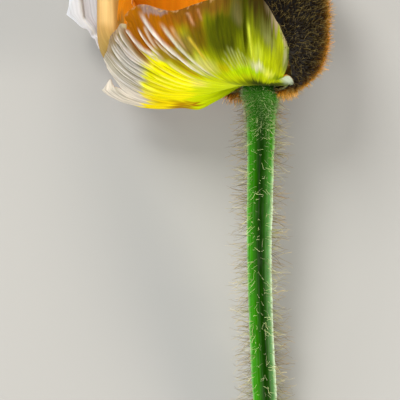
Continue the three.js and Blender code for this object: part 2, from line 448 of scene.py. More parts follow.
class RibbedSheet:
    """A smooth sheet over ribs that fan out from a claw.

    Places on it are u across, from its first rib at 0 to its last at 1, and v along, from the claw at 0 to
    the rim at 1.
    """

    def __init__(self, ribs: list[Rib], claw_up: float) -> None:
        """Lays the sheet over its ribs.

        Args:
            ribs: The ribs in order across the sheet.
            claw_up: How far up the axis the claw leaves the receptacle.
        """
        self.rows = np.array([astuple(rib) for rib in ribs])
        self.claw_up = claw_up
        self.outward = 1 if ribs[-1].turn < ribs[0].turn else -1

    def through(self, u: Array) -> Array:
        """Ribs between the ribs, by smooth interpolation.

        Args:
            u: Places across the sheet.

        Returns:
            A rib's numbers for each place, with the numbers first.
        """
        count = len(self.rows)
        place = np.asarray(u) * (count - 1)
        start = np.clip(np.floor(place).astype(int), 0, count - 2)
        t = (place - start)[..., None]
        a, b, c, d = (self.rows[np.clip(start + k, 0, count - 1)] for k in (-1, 0, 1, 2))
        into, leave, rise = (c - a) / 2, (d - b) / 2, c - b
        rows = b + t * (into + t * (3 * rise - 2 * into - leave + t * (into + leave - 2 * rise)))
        return np.moveaxis(rows, -1, 0)

    def point(self, u: Array, v: Array) -> Array:
        """Points of the sheet.

        Args:
            u: Places across it.
            v: Places along it.

        Returns:
            Points in millimetres, with x, y and z last.
        """
        turn, wide, up, close, full, dip, crown, flare, sweep, belly = self.through(u)
        angle = np.radians(close * v)
        outward = np.maximum(np.sin(angle), 0) ** (2 / full)
        upward = np.abs(np.cos(angle)) ** (2 / full)
        below = angle < math.pi / 2
        start = np.where(below, CLAW_OUT, TIP_OUT)
        r = start + (wide - start) * outward + flare * np.maximum(v, 0) ** FLARE_POWER
        bowl = np.where(below, up - (up - self.claw_up) * upward, up + crown * upward)
        hang = np.maximum(np.sin(math.pi * np.clip(v, 0, 1) ** DIP_POWER), 0) ** DIP_SHARPNESS
        y = bowl - dip * hang - belly * np.exp(-(((v - BELLY_AT) / BELLY_WIDE) ** 2))
        phi = np.radians(turn + sweep * np.maximum(v, 0) ** SWEEP_POWER)
        return np.stack([r * np.cos(phi), y, r * np.sin(phi)], axis=-1)

    def normal(self, u: Array, v: Array) -> Array:
        """The sheet's normals on the bloom's outside.

        Args:
            u: Places across it.
            v: Places along it.

        Returns:
            Unit vectors, with x, y and z last.
        """
        step = NORMAL_STEP
        across = self.point(np.minimum(u + step, 1), v) - self.point(np.maximum(u - step, 0), v)
        along = self.point(u, np.maximum(v + step, 2 * step)) - self.point(u, np.maximum(v - step, step))
        n = np.cross(across, along) * self.outward
        return n / np.maximum(np.linalg.norm(n, axis=-1, keepdims=True), 1e-12)

    def lengthwise(self) -> tuple[Array, Array]:
        """How the sheet's length runs with v: a rib's crown is longer than its share of v.

        Returns:
            Places v, and the share of the sheet's length that lies below each.
        """
        u, v = np.meshgrid(*(np.linspace(0, 1, count) for count in LENGTH_GRID))
        steps = np.linalg.norm(np.diff(self.point(u, v), axis=0), axis=2).mean(axis=1)
        run = np.concatenate([[0], np.cumsum(steps)])
        return v[:, 0], run / run[-1]

    def shell(self, middle: Array, normal: Array, height: Array, half: Array | float) -> tuple[Array, list]:
        """Makes the sheet a closed shell, with a face on either side of its middle and a rim between them.

        Args:
            middle: The grid of its middle's points, row by row from the claw.
            normal: The sheet's normals there.
            height: How far the sheet stands out from its middle there.
            half: Half its thickness there.

        Returns:
            Its vertices, with those of the outer face first, and its faces.
        """
        layers = [(middle + normal * (height + face.value * half)).reshape(-1, 3) for face in Face]
        grid = np.arange(len(layers[0])).reshape(middle.shape[:2])
        a, b, c, d = grid[:-1, :-1], grid[:-1, 1:], grid[1:, 1:], grid[1:, :-1]
        inner = [corner + grid.size for corner in (a, d, c, b)]
        quads = np.stack([a, b, c, d, *inner], axis=-1).reshape(-1, 4)
        near = np.concatenate([grid[0, :-1], grid[-1, 1:], grid[1:, 0], grid[:-1, -1]])
        far = np.concatenate([grid[0, 1:], grid[-1, :-1], grid[:-1, 0], grid[1:, -1]])
        rim = np.stack([near, near + grid.size, far + grid.size, far], axis=-1)
        faces = np.concatenate([quads, rim])[:, :: self.outward]
        return np.concatenate(layers), faces.tolist()


# --- Petals ---


@dataclass(frozen=True)
class Wash:
    """A soft-edged wash of colour on a petal: mostly pigment, and in some places painted light and shade.

    Attributes:
        u: The wash's middle across the petal.
        v: Its middle along it.
        wide: Half its width across the petal.
        long: Half its length along it.
        colour: An sRGB hex colour.
        strength: Its cover in the middle, from 0 to 1.
        soft: The share of its size that its edge fades over.
        power: 2 for an oval wash, more for one with corners.
    """

    u: float
    v: float
    wide: float
    long: float
    colour: str
    strength: float
    soft: float = 0.6
    power: float = 2.0

    def cover(self, u: Array, v: Array) -> Array:
        """How much of the wash lies at each place, from 0 to 1."""
        across, along = np.abs(u - self.u) / self.wide, np.abs(v - self.v) / self.long
        away = (across**self.power + along**self.power) ** (1 / self.power)
        return self.strength * ease((1 - away) / self.soft)


@dataclass(frozen=True)
class Pleat:
    """A narrow fold that runs along the petal, raised or sunk, and tinted along its crest, partly as painted
    light: highlight on a raised one, shade in a sunk one.

    Attributes:
        path: Its places v and u in turn, from its foot to its tip.
        width: Half its width across the petal.
        height: How far it stands out, in millimetres; less than 0 for a groove.
        colour: Its crest's colour.
        strength: How much of that colour it has.
    """

    path: tuple[float, ...]
    width: float
    height: float
    colour: str
    strength: float

    FOOT_FADE = 0.35  # the share of its run that it takes to rise
    TIP_FADE = 0.2
    SQUARE = 2.5  # more than 2 gives its crest a flatter top

    def profile(self, u: Array, v: Array) -> Array:
        """How much of the fold lies at each place.

        Args:
            u: Places across the petal.
            v: Places along it.

        Returns:
            Shares from 0 to 1.
        """
        along, across = np.reshape(self.path, (-1, 2)).T
        span = along[-1] - along[0]
        fade = ease((v - along[0]) / (self.FOOT_FADE * span)) * ease((along[-1] - v) / (self.TIP_FADE * span))
        return fade * np.exp(-(np.abs((u - np.interp(v, along, across)) / self.width) ** self.SQUARE))


@dataclass(frozen=True)
class Tug:
    """A soft pull on one place of a petal.

    Attributes:
        at: The place, across and along the petal.
        size: How far the pull reaches, across and along.
        shift: How far the place moves, in millimetres.
    """

    at: tuple[float, float]
    size: tuple[float, float]
    shift: tuple[float, float, float]

    def pull(self, u: Array, v: Array) -> Array:
        """How far each place moves."""
        away = np.hypot((u - self.at[0]) / self.size[0], (v - self.at[1]) / self.size[1])
        return ease(1 - away)[..., None] * np.array(self.shift)


@dataclass(frozen=True)
class Paint:
    """The pigment of one face of a petal, with painted light and shade in some washes and in the valleys of
    its folds.

    Attributes:
        ground: The colour under the washes.
        washes: Each wash's attributes, in the order that they are laid.
        streak: How far along the petal the washes' edges run out in streaks.
        streaks: How many streaks lie across the petal.
        contrast: How far the streaks lighten and darken the colour.
        valley: What the colour is multiplied by in the valleys of the folds: painted shade, tinted as by
            light through the other face.
        depth: How much of that shows where the tissue is pale; less does where pigment hides it.
    """

    ground: str
    washes: tuple[tuple, ...]
    streak: float
    streaks: float
    contrast: float
    valley: str = "#cfbd8c"
    depth: float = 0.5

    FINE = 2.7  # fine streaks to each coarse one
    RAGGED = 0.004  # how far the washes' edges wander across the petal
    SHOWN = (0.15, 0.85)  # how much of the valleys' tint shows through pigment, and how much more without

    def colour(self, u: Array, v: Array, fold: Array, seed: int) -> Array:
        """Lays the washes over each other, and paints shade into the valleys of the small folds.

        Args:
            u: Places across the petal.
            v: Places along it.
            fold: The height of the small folds there, from -1 to 1.
            seed: Which streaks.

        Returns:
            Linear red, green and blue for each place.
        """
        run = wave(u * self.streaks, seed) + 0.6 * wave(u * self.streaks * self.FINE, seed + 1)
        run = self.streak * run
        shift = self.RAGGED * swell(u * 30, v * 6, seed + 2)
        colour = np.broadcast_to(linear(self.ground), (*np.shape(u), 3))
        for wash in starmap(Wash, self.washes):
            colour = tinted(colour, wash.colour, wash.cover(u + shift, v + run))
        tone = wave(u * self.streaks * 1.6, seed + 3) + 0.5 * swell(u * self.streaks, v * 8, seed + 4)
        # Painted shade in the valleys of the small folds, tinted as by light through the other face
        pale = colour.min(axis=-1) / colour.max(axis=-1)
        shown = self.SHOWN[0] + self.SHOWN[1] * pale
        sunk = (self.depth * shown * ease(0.25 - 1.3 * fold))[..., None]
        return colour * (1 + self.contrast * tone)[..., None] * (1 + sunk * (linear(self.valley) - 1))


@dataclass(frozen=True)
class PetalTissue(Finish):
    """Poppy petal tissue: two skins a few cells thick over fine veins, satin like washed silk.

    It lets light through, shines softly along its folds, and carries its pigment in streaks between veins.

    Attributes:
        width: The petal's width at its rim, in millimetres.
        length: Its length along a rib, in millimetres.
        glow: The share of light that passes through.
        relief: How far the veins stand out, in millimetres.
        mottle: How far the veins darken and lighten the pigment.
    """

    width: float
    length: float
    glow: float = 0.35
    relief: float = 0.03
    mottle: float = 0.18

    VEIN = (0.25, 6.0)  # width and run of a streak, drawn twice as coarse as real ones so that they show
    CREASE = (0.12, 0.3)  # width and run of the crape between them, drawn four times as coarse
    ROUGH = (0.4, 0.62)  # from the crests to the valleys of the crape

    def surface(self, add: Adder) -> Node:
        """Colours the tissue by its "pigment" attribute and patterns it on its own UV map.

        Args:
            add: Adds a node to the material.

        Returns:
            The shader.
        """
        sheet = add("ShaderNodeUVMap", uv_map="sheet")
        vein_map, crease_map = (
            add("ShaderNodeMapping", {"Vector": sheet, "Scale": (self.width / wide, self.length / long, 1.0)})
            for wide, long in (self.VEIN, self.CREASE)
        )
        veins = add(NOISE, {"Vector": vein_map, "Scale": 1.0, "Detail": 3.0, "Roughness": 0.6})
        crape = add(NOISE, {"Vector": crease_map, "Scale": 1.0, "Detail": 2.0})
        shades = {"To Min": 1 - self.mottle, "To Max": 1 + 0.6 * self.mottle}
        shade = add(LEVELS, {"Value": veins, "From Min": 0.3, "From Max": 0.7, **shades})
        pigment = add(STORED, attribute_name="pigment")
        colour = add(VECTOR, {0: pigment, "Scale": shade}, operation="SCALE")
        height = add(MATH, (veins, 0.8, crape), operation="MULTIPLY_ADD")
        bump = add(BUMP, {"Height": height, "Distance": self.relief * MM, "Strength": 0.7})
        rough = add(LEVELS, {"Value": crape, "To Min": self.ROUGH[0], "To Max": self.ROUGH[1]})
        gloss = {"Roughness": rough, "IOR": 1.4, "Specular IOR Level": 0.07, "Normal": bump}
        silk = {"Sheen Weight": 0.02, "Sheen Roughness": 0.4}
        skin = add(SHADER, {"Base Color": colour, **gloss, **silk})
        through = add("ShaderNodeBsdfTranslucent", {"Color": colour, "Normal": bump})
        return add("ShaderNodeMixShader", (self.glow, skin, through))


@dataclass(frozen=True)
class Petal:
    """A petal: a thin closed sheet over ribs, pleated, crumpled and painted.

    Attributes:
        side: Which petal it is, as the piece and its CAD node are named.
        slot: The record's material slot.
        ribs: Its ribs.
        claw_up: How far up the axis its claw sits.
        outside: The paint on the bloom's outside.
        inside: The paint on the bloom's inside.
        tissue: Its finish.
        columns: Quads across the sheet.
        rows: Quads along it.
        pleats: Its large folds.
        tugs: Where it is pulled out of its even shape.
        folds: Small even folds: how many lie across it, and how high they are at the rim.
        crumple: Random relief: how high it is and how long its waves are, in millimetres, and from where to
            where along it grows to that.
        frill: Waves of the rim: how high they are, in millimetres, how many, and where along they start.
        calm: From where to where across it the small folds stand at their full height.
        scallop: How far the rim wanders in and out, as a share of the petal's length.
        notches: Cuts in its rim: where across it, how wide and how deep, as shares of its width and length.
        seed: Which random growth.
    """

    side: str
    slot: str
    ribs: list[Rib]
    claw_up: float
    outside: Paint
    inside: Paint
    tissue: PetalTissue
    seed: int
    folds: tuple[float, float]
    crumple: tuple[float, float, float, float]
    columns: int = 200
    rows: int = 100
    pleats: tuple[Pleat, ...] = ()
    tugs: tuple[Tug, ...] = ()
    frill: tuple[float, float, float] = (0.0, 8.0, 0.8)
    calm: tuple[float, float] = (-1.0, 2.0)
    scallop: float = 0.012
    notches: tuple[tuple[float, float, float], ...] = ()

    THICKNESS = 0.16  # millimetres at the middle; the rim is thinner
    NIBBLE = 0.004  # how far the rim wanders at the scale of its small folds
    CALM_EDGE = 0.08  # the share of the width that the small folds take to lie down
    CALM_DEPTH = (0.5, 0.75)  # how far they lie down on either side
    FINE = 2.6  # fine folds to each coarse one
    SHARES = (0.65, 0.35)  # of the coarse and of the fine ones in the small folds
    CREASES = 0.55  # of sharp creases in the crumple, beside its soft waves
    FLATTENED = 0.2  # how far the crumple lies below the ribs

    def fold(self, u: Array, v: Array) -> Array:
        """The small folds with their sharp crests.

        Args:
            u: Places across the petal.
            v: Places along it.

        Returns:
            Heights from -1 in a valley to 1 on a crest.
        """
        drift = 0.7 * swell(u * 12, v * 4, self.seed + 6)
        coarse, fine = (
            1 - 2 * np.abs(wave(u * self.folds[0] * times + drift, self.seed + 7)) for times in (1, self.FINE)
        )
        (left, right), (low, high) = self.calm, self.CALM_DEPTH
        still = np.maximum(
            low * ease((left - u) / self.CALM_EDGE), high * ease((u - right) / self.CALM_EDGE + 1)
        )
        folds = self.SHARES[0] * coarse + self.SHARES[1] * fine
        return folds * ease((v - 0.12) / 0.4) * (1 - still)

    def relief(self, u: Array, v: Array, far: Array) -> Array:
        """How far the petal stands out from its ribs.

        Args:
            u: Places across the petal.
            v: Places along it.
            far: The share of its length that lies below them.

        Returns:
            Heights in millimetres.
        """
        high, long, start, full = self.crumple
        wide, tall = self.tissue.width / long, self.tissue.length / long
        loose = ease((v - start) / (full - start))
        warp = 0.5 * swell(u * wide * 1.7, far * tall * 1.3, self.seed + 5)
        crease = 1 - 2 * np.abs(swell(u * wide + warp, far * tall + 0.6 * warp, self.seed))
        soft = swell(u * wide * 0.5, far * tall * 0.5, self.seed + 3)
        relief = high * loose * (self.CREASES * crease + soft - self.FLATTENED)
        height, waves, rise = self.frill
        relief += height * ease((v - rise) / (1 - rise)) * wave(u * waves + 0.3 * soft, self.seed + 12)
        relief += self.folds[1] * ease((v - 0.1) / 0.5) * self.fold(u, v)
        for pleat in self.pleats:
            relief += pleat.height * pleat.profile(u, v)
        return relief

    def painted(self, face: Face, u: Array, v: Array) -> Array:
        """One face's colours, with the pleats' crests on the outside, their tints partly painted highlight
        and shade.

        Args:
            face: Which face.
            u: Places across the petal.
            v: Places along it.

        Returns:
            A linear colour for each place, in one row.
        """
        paint = self.outside if face is Face.OUTSIDE else self.inside
        colour = paint.colour(u, v, face.value * self.fold(u, v), self.seed + 20)
        for pleat in self.pleats if face is Face.OUTSIDE else ():
            colour = tinted(colour, pleat.colour, np.clip(pleat.strength * pleat.profile(u, v), 0, 1))
        return np.clip(colour, 0, 1).reshape(-1, 3)

    def build(self) -> None:
        """Builds the petal as one closed sheet."""
        sheet = RibbedSheet(self.ribs, self.claw_up)
        places, shares = sheet.lengthwise()
        rows = np.interp(np.linspace(0, 1, self.rows + 1), shares, places)
        u, v = np.meshgrid(np.linspace(0, 1, self.columns + 1), rows)
        wander = 0.5 + 0.5 * wave(u * 9, self.seed + 8)
        rim = 1 - self.scallop * wander - self.NIBBLE * wave(u * 40, self.seed + 9)
        for where, wide, deep in self.notches:
            rim -= deep * np.maximum(1 - np.abs(u - where) / wide, 0)
        along = v * rim
        middle = sum((tug.pull(u, v) for tug in self.tugs), start=sheet.point(u, along))
        height = self.relief(u, along, np.interp(along, places, shares))[..., None]
        half = self.THICKNESS * (0.55 - 0.3 * v[..., None] ** 4)
        shell = sheet.shell(middle, sheet.normal(u, along), height, half)
        colours = np.concatenate([self.painted(face, u, along) for face in Face])
        piece = make_object(f"{self.side}_petal", *shell, colours, self.tissue)
        set_uv(piece, "sheet", np.tile(np.stack([u, v], axis=-1).reshape(-1, 2), (2, 1)))
        carry(piece, self.slot, f"petal_{self.side}")


# --- Hair ---


@dataclass(frozen=True)
class HairFinish(Finish):
    """Plant hair: hollow cell walls, translucent, with a soft shine and paler towards the tip.

    Attributes:
        root: Colour at the root.
        tip: Colour at the tip.
        lit_root: Colour at the root of hairs whose "tint" is 1: painted light, a glow through the cap's hairs
            and side light on the stem's.
        lit_tip: Colour at the tip of those.
    """

    root: str
    tip: str
    lit_root: str
    lit_tip: str

    GLOW = 0.3  # the share of light that passes through

    def surface(self, add: Adder) -> Node:
        """Colours the hair by its "along", "tint" and "tone" attributes; "tint" mixes in the painted light.

        Args:
            add: Adds a node to the material.

        Returns:
            The shader.
        """
        names = ("along", "tint", "tone")
        along, tint, tone = (add(STORED, attribute_name=name).outputs["Fac"] for name in names)
        plain, lit = (
            add(MIX, {0: along, "A": opaque(root), "B": opaque(tip)}, data_type="RGBA")
            for root, tip in ((self.root, self.tip), (self.lit_root, self.lit_tip))
        )
        both = add(MIX, {0: tint, "A": plain, "B": lit}, data_type="RGBA")
        colour = add(VECTOR, {0: both, "Scale": tone}, operation="SCALE")
        gloss = {"Roughness": 0.45, "IOR": 1.5, "Specular IOR Level": 0.12}
        wall = add(SHADER, {"Base Color": colour, **gloss})
        through = add("ShaderNodeBsdfTranslucent", {"Color": colour})
        return add("ShaderNodeMixShader", (self.GLOW, wall, through))


@dataclass(frozen=True)
class HairCoat(Growth):
    """A coat of hairs on a skin.

    The skin's attributes steer it: one thins it out, "reach" scales its length, "lean" tips it over and
    "tint" picks how much painted light its colour gets.

    Attributes:
        density: Hairs to a square millimetre where the attribute that thins it out is 1.
        length: A hair's length in millimetres where "reach" is 1.
        width: Its width at the root, in millimetres.
        spread: How unevenly the hairs stand.
        wander: How far their tips stray, in millimetres.
        segments: Joints along a hair.
        blunt: Its width at the tip, as a share of that at the root.
        shortest: The shortest hair as a share of the length.
        where: The skin's attribute that thins the coat out.
    """

    density: float
    length: float
    width: float
    spread: float
    wander: float
    segments: int = 3
    blunt: float = 0.0
    shortest: float = 0.55
    where: str = "coat"

    SIDES = 3
    STRAY_WAVE = 1.4  # millimetres between one stray and the next
    BEND = 1.6  # a hair strays mostly near its tip
    THICKNESS = (0.75, 1.2)
    TONE = (0.4, 1.6)
    CLEAR = 0.05  # how far above the table the hairs are kept

    def sizes(self) -> dict:
        """Gathers what the tree's inputs are given.

        Returns:
            A value for each input, by name.
        """
        return super().sizes() | {
            "Density": self.density / MM**2,
            "Length": self.length * MM,
            "Root Radius": self.width / 2 * MM,
            "Tip Radius": self.blunt * self.width / 2 * MM,
            "Spread": self.spread,
            "Wander": self.wander * MM,
            "Shortest": self.shortest,
            "Table": self.CLEAR * MM,
            "Segments": self.segments,
        }

    def plant(self, add: Adder, given: bpy.types.bpy_prop_collection) -> Node:
        """Scatters the hairs on the skin, sizes and tips them, and bends them.

        Args:
            add: Adds a node to the tree.
            given: The tree's inputs.

        Returns:
            The node that gives the coat.
        """
        names = (self.where, "reach", "along")
        thinned, reach, along = (add(READ, {"Name": name}, data_type="FLOAT") for name in names)
        lean = add(READ, {"Name": "lean"}, data_type="FLOAT_VECTOR")
        seeds = [add(MATH, (given["Seed"], step), operation="ADD") for step in (1, 2, 3, 4)]
        box = {"Min": (-1.0, -1.0, -1.0), "Max": (1.0, 1.0, 1.0), "Seed": seeds[0]}
        stray = add(RANDOM, box, data_type="FLOAT_VECTOR")
        share, wide, tone = (
            add(RANDOM, {"Min": low, "Max": high, "Seed": seed}, data_type="FLOAT")
            for (low, high), seed in zip(((given["Shortest"], 1.0), self.THICKNESS, self.TONE), seeds[1:])
        )

        density = add(MATH, (given["Density"], thinned), operation="MULTIPLY")
        scatter = {"Mesh": given["Geometry"], "Density": density, "Seed": given["Seed"]}
        roots = add("GeometryNodeDistributePointsOnFaces", scatter, distribute_method="RANDOM")
        strayed = add(VECTOR, {0: stray, "Scale": given["Spread"]}, operation="SCALE")
        leaning = add(VECTOR, (roots.outputs["Normal"], lean), operation="ADD")
        leaning = add(VECTOR, (leaning, strayed), operation="ADD")
        direction = add(VECTOR, (leaning,), operation="NORMALIZE")
        aligned = add("FunctionNodeAlignRotationToVector", {"Vector": direction}, axis="Z")

        shape = {"Vertices": self.SIDES, "Side Segments": given["Segments"], "Depth": given["Length"]}
        radii = {"Radius Top": given["Tip Radius"], "Radius Bottom": given["Root Radius"]}
        strand = add("GeometryNodeMeshCone", shape | radii)
        position = add("GeometryNodeInputPosition")
        x, y, z = add(SPLIT, (position,)).outputs
        height = add(MATH, (z, given["Length"]), operation="DIVIDE")
        marks = {"Geometry": strand, "Name": "along", "Value": height}
        strand = add(STORE, marks, data_type="FLOAT", domain="POINT")
        size = add(JOIN, (wide, wide, add(MATH, (share, reach), operation="MULTIPLY")))
        hairs = add(PLANT, {"Points": roots, "Instance": strand, "Rotation": aligned, "Scale": size})
        tones = {"Geometry": hairs, "Name": "tone", "Value": tone}
        hairs = add(STORE, tones, data_type="FLOAT", domain="INSTANCE")
        hairs = add("GeometryNodeRealizeInstances", {"Geometry": hairs})

        waves = {"Vector": position, "Scale": 1 / (self.STRAY_WAVE * MM), "Detail": 1.0}
        noise = add(NOISE, waves).outputs["Color"]
        centred = add(VECTOR, (noise, (0.5, 0.5, 0.5)), operation="SUBTRACT")
        bend = add(MATH, (along, self.BEND), operation="POWER")
        bend = add(MATH, (bend, given["Wander"]), operation="MULTIPLY")
        offset = add(VECTOR, {0: centred, "Scale": bend}, operation="SCALE")
        hairs = add(MOVE, {"Geometry": hairs, "Offset": offset})
        above = add(MATH, (z, given["Table"]), operation="MAXIMUM")
        return add(MOVE, {"Geometry": hairs, "Position": add(JOIN, (x, y, above))})


# --- Sepals: the two halves of the bud's cap ---


@dataclass(frozen=True)
class SkinFinish(Finish):
    """Plant skin: a waxy layer over plump cells.

    Attributes:
        grain: The distance between its bumps in millimetres; each is a group of cells, as one is too fine.
        stretch: How much longer than wide they are, along the bloom's axis.
        shine: Its specular level.
        relief: How far they stand out, in millimetres.
        roughness: How matt it is.
        variation: How far its colour varies.
    """

    grain: float
    stretch: float
    shine: float
    relief: float = 0.03
    roughness: float = 0.6
    variation: float = 0.25

    def surface(self, add: Adder) -> Node:
        """Colours the skin by its "pigment" attribute and patterns it on Object coordinates.

        Args:
            add: Adds a node to the material.

        Returns:
            The shader.
        """
        place = add("ShaderNodeTexCoord").outputs["Object"]
        scale = 1 / (self.grain * MM)
        mapped = add("ShaderNodeMapping", {"Vector": place, "Scale": (scale, scale / self.stretch, scale)})
        cells = add(NOISE, {"Vector": mapped, "Scale": 1.0, "Detail": 3.0})
        shades = {"To Min": 1 - self.variation, "To Max": 1 + self.variation}
        shade = add(LEVELS, {"Value": cells, "From Min": 0.3, "From Max": 0.7, **shades})
        pigment = add(STORED, attribute_name="pigment")
        colour = add(VECTOR, {0: pigment, "Scale": shade}, operation="SCALE")
        bump = add(BUMP, {"Height": cells, "Distance": self.relief * MM, "Strength": 0.8})
        matt = {"To Min": self.roughness - 0.12, "To Max": self.roughness + 0.12}
        rough = add(LEVELS, {"Value": cells, **matt})
        gloss = {"Roughness": rough, "IOR": 1.45, "Specular IOR Level": self.shine, "Normal": bump}
        return add(SHADER, {"Base Color": colour, **gloss})


# Leathery and nearly black brown, it dried before the bud burst, so its coarse bumps hardly shine.
SEPAL_SKIN = SkinFinish("Poppy sepal skin", grain=0.3, stretch=2.0, relief=0.05, roughness=0.65, shine=0.25)
# Its long cells run up the stem under a thin bloom of wax, so it looks streaked, fresh and almost matt.
STEM_SKIN = SkinFinish("Poppy stem rind", grain=0.22, stretch=9.0, shine=0.015, variation=0.15)
# Plump green cells under thicker wax give the young capsule its soft gloss.
OVARY_SKIN = SkinFinish("Poppy capsule skin", grain=0.2, stretch=1.5, shine=0.3)


@dataclass(frozen=True)
class Sepal:
    """One half of the bud's cap: a leathery shell with a dense coat of bristles outside.

    Attributes:
        name: The piece's name.
        node: The CAD node that it stands for.
        ribs: Its ribs.
        coats: Its coats of hair by name.
        tuft: How much thicker its hair stands at the claw, where it also leans down.
        seed: Which random growth.
        lit_at: The turn, in degrees, where the glow painted on its bristles and skin, as of light coming
            through them, is strongest.
        lit_wide: How far round the axis that reaches, in degrees.
    """

    name: str
    node: str
    ribs: list[Rib]
    coats: dict[str, HairCoat]
    tuft: float
    seed: int
    lit_at: float = 0.0
    lit_wide: float = 18.0

    CLAW_UP = -0.35
    THICKNESS = 0.45
    COLUMNS, ROWS = 110, 90
    LIT_FAR = 0.03  # how much painted glow the bristles get elsewhere
    LIT_CLAW = 0.9  # and at the claw
    DENT = 0.12  # how uneven the shell is
    THIN_UNDER, THIN = 0.8, 0.25  # this close to the table the hair thins out to this share
    OUTSIDE = "#050300"
    # The skin's colour where a glow is painted on
    LIT = "#2c1602"
    INSIDE = "#9a9a5c"

    def build(self) -> None:
        """Builds the shell and its coats."""
        sheet = RibbedSheet(self.ribs, self.CLAW_UP)
        u, v = np.meshgrid(np.linspace(0, 1, self.COLUMNS + 1), np.linspace(0, 1, self.ROWS + 1) ** 1.1)
        middle, normal = sheet.point(u, v), sheet.normal(u, v)
        height = (self.DENT * swell(u * 14, v * 10, self.seed) * ease(v / 0.2))[..., None]
        shell = sheet.shell(middle, normal, height, self.THICKNESS / 2)

        x, _, z = middle.reshape(-1, 3).T
        v = v.ravel()
        # A glow, as of light coming through the bristles, is painted on round one turn and at the claw: it
        # colours the skin here, and the hair by "tint".
        away = (np.degrees(np.arctan2(z, x)) - self.lit_at + 180) % 360 - 180
        painted_glow = self.LIT_FAR + (1 - self.LIT_FAR) * np.exp(-((away / self.lit_wide) ** 2))
        painted_glow = np.maximum(painted_glow, self.LIT_CLAW * (1 - ease((v - 0.04) / 0.12)))
        outer = tinted(linear(self.OUTSIDE), self.LIT, painted_glow)
        colours = np.concatenate([outer, np.broadcast_to(linear(self.INSIDE), outer.shape)])
        piece = make_object(self.name, *shell, colours, SEPAL_SKIN)
        claw = 1 - ease((v - 0.06) / 0.1)
        dense = np.where(z < BLOOM.table + self.THIN_UNDER, self.THIN, 1.0 + self.tuft * claw)
        set_attribute(piece, "coat", dense)
        set_attribute(piece, "reach", 0.65 + 0.35 * ease((v - 0.15) / 0.3) + 0.25 * self.tuft * claw)
        set_attribute(piece, "tint", painted_glow)
        lean = (0.35 - 0.3 * self.tuft * claw)[:, None] * np.array([0, 1, 0]) - 0.1 * normal.reshape(-1, 3)
        set_attribute(piece, "lean", lean)
        carry(piece, "sepal", self.node)
        for key, hairs in self.coats.items():
            carry(hairs.grow(f"{self.name}_{key}", piece.data), "sepal")


# --- Stem ---

CURVE_STEPS = 40  # points between one knot and the next


def along_curve(knots: Array, count: int) -> Array:
    """Evenly spaced points on a centripetal Catmull-Rom curve through knots.

    Args:
        knots: The points that the curve goes through.
        count: How many points to give back.

    Returns:
        Points from the first knot to the last.
    """
    ends = [2 * knots[0] - knots[1], 2 * knots[-1] - knots[-2]]
    p = np.concatenate([ends[:1], knots, ends[1:]])
    times = np.concatenate([[0], np.cumsum(np.sqrt(np.linalg.norm(np.diff(p, axis=0), axis=1)))])
    pieces = []
    for k in range(1, len(p) - 2):
        t = np.linspace(times[k], times[k + 1], CURVE_STEPS, endpoint=False)[:, None]
        values, s = list(p[k - 1 : k + 3]), times[k - 1 : k + 3]
        for pairs in (((0, 1), (1, 2), (2, 3)), ((0, 2), (1, 3)), ((1, 2),)):
            values = [
                ((s[b] - t) * values[i] + (t - s[a]) * values[i + 1]) / (s[b] - s[a])
                for i, (a, b) in enumerate(pairs)
            ]
        pieces.append(values[0])
    dense = np.concatenate([*pieces, knots[-1:]])
    run = run_along(dense)
    even = np.linspace(0, run[-1], count)
    return np.stack([np.interp(even, run, dense[:, axis]) for axis in range(3)], axis=1)


def ring_faces(sides: int, levels: int) -> list[tuple[int, ...]]:
    """Faces of a closed round piece: a first point, rings of points round it, and a last point.

    Args:
        sides: Points in each ring.
        levels: How many rings there are.

    Returns:
        The faces, turned outwards for rings that turn from x to z while they move along y.
    """
    after = [(i, (i + 1) % sides) for i in range(sides)]
    faces = [(0, 1 + i, 1 + k) for i, k in after]
    for a in range(1, 1 + (levels - 1) * sides, sides):
        faces += [(a + i, a + sides + i, a + sides + k, a + k) for i, k in after]
    last, top = 1 + (levels - 1) * sides, 1 + levels * sides
    return faces + [(last + i, top, last + k) for i, k in after]


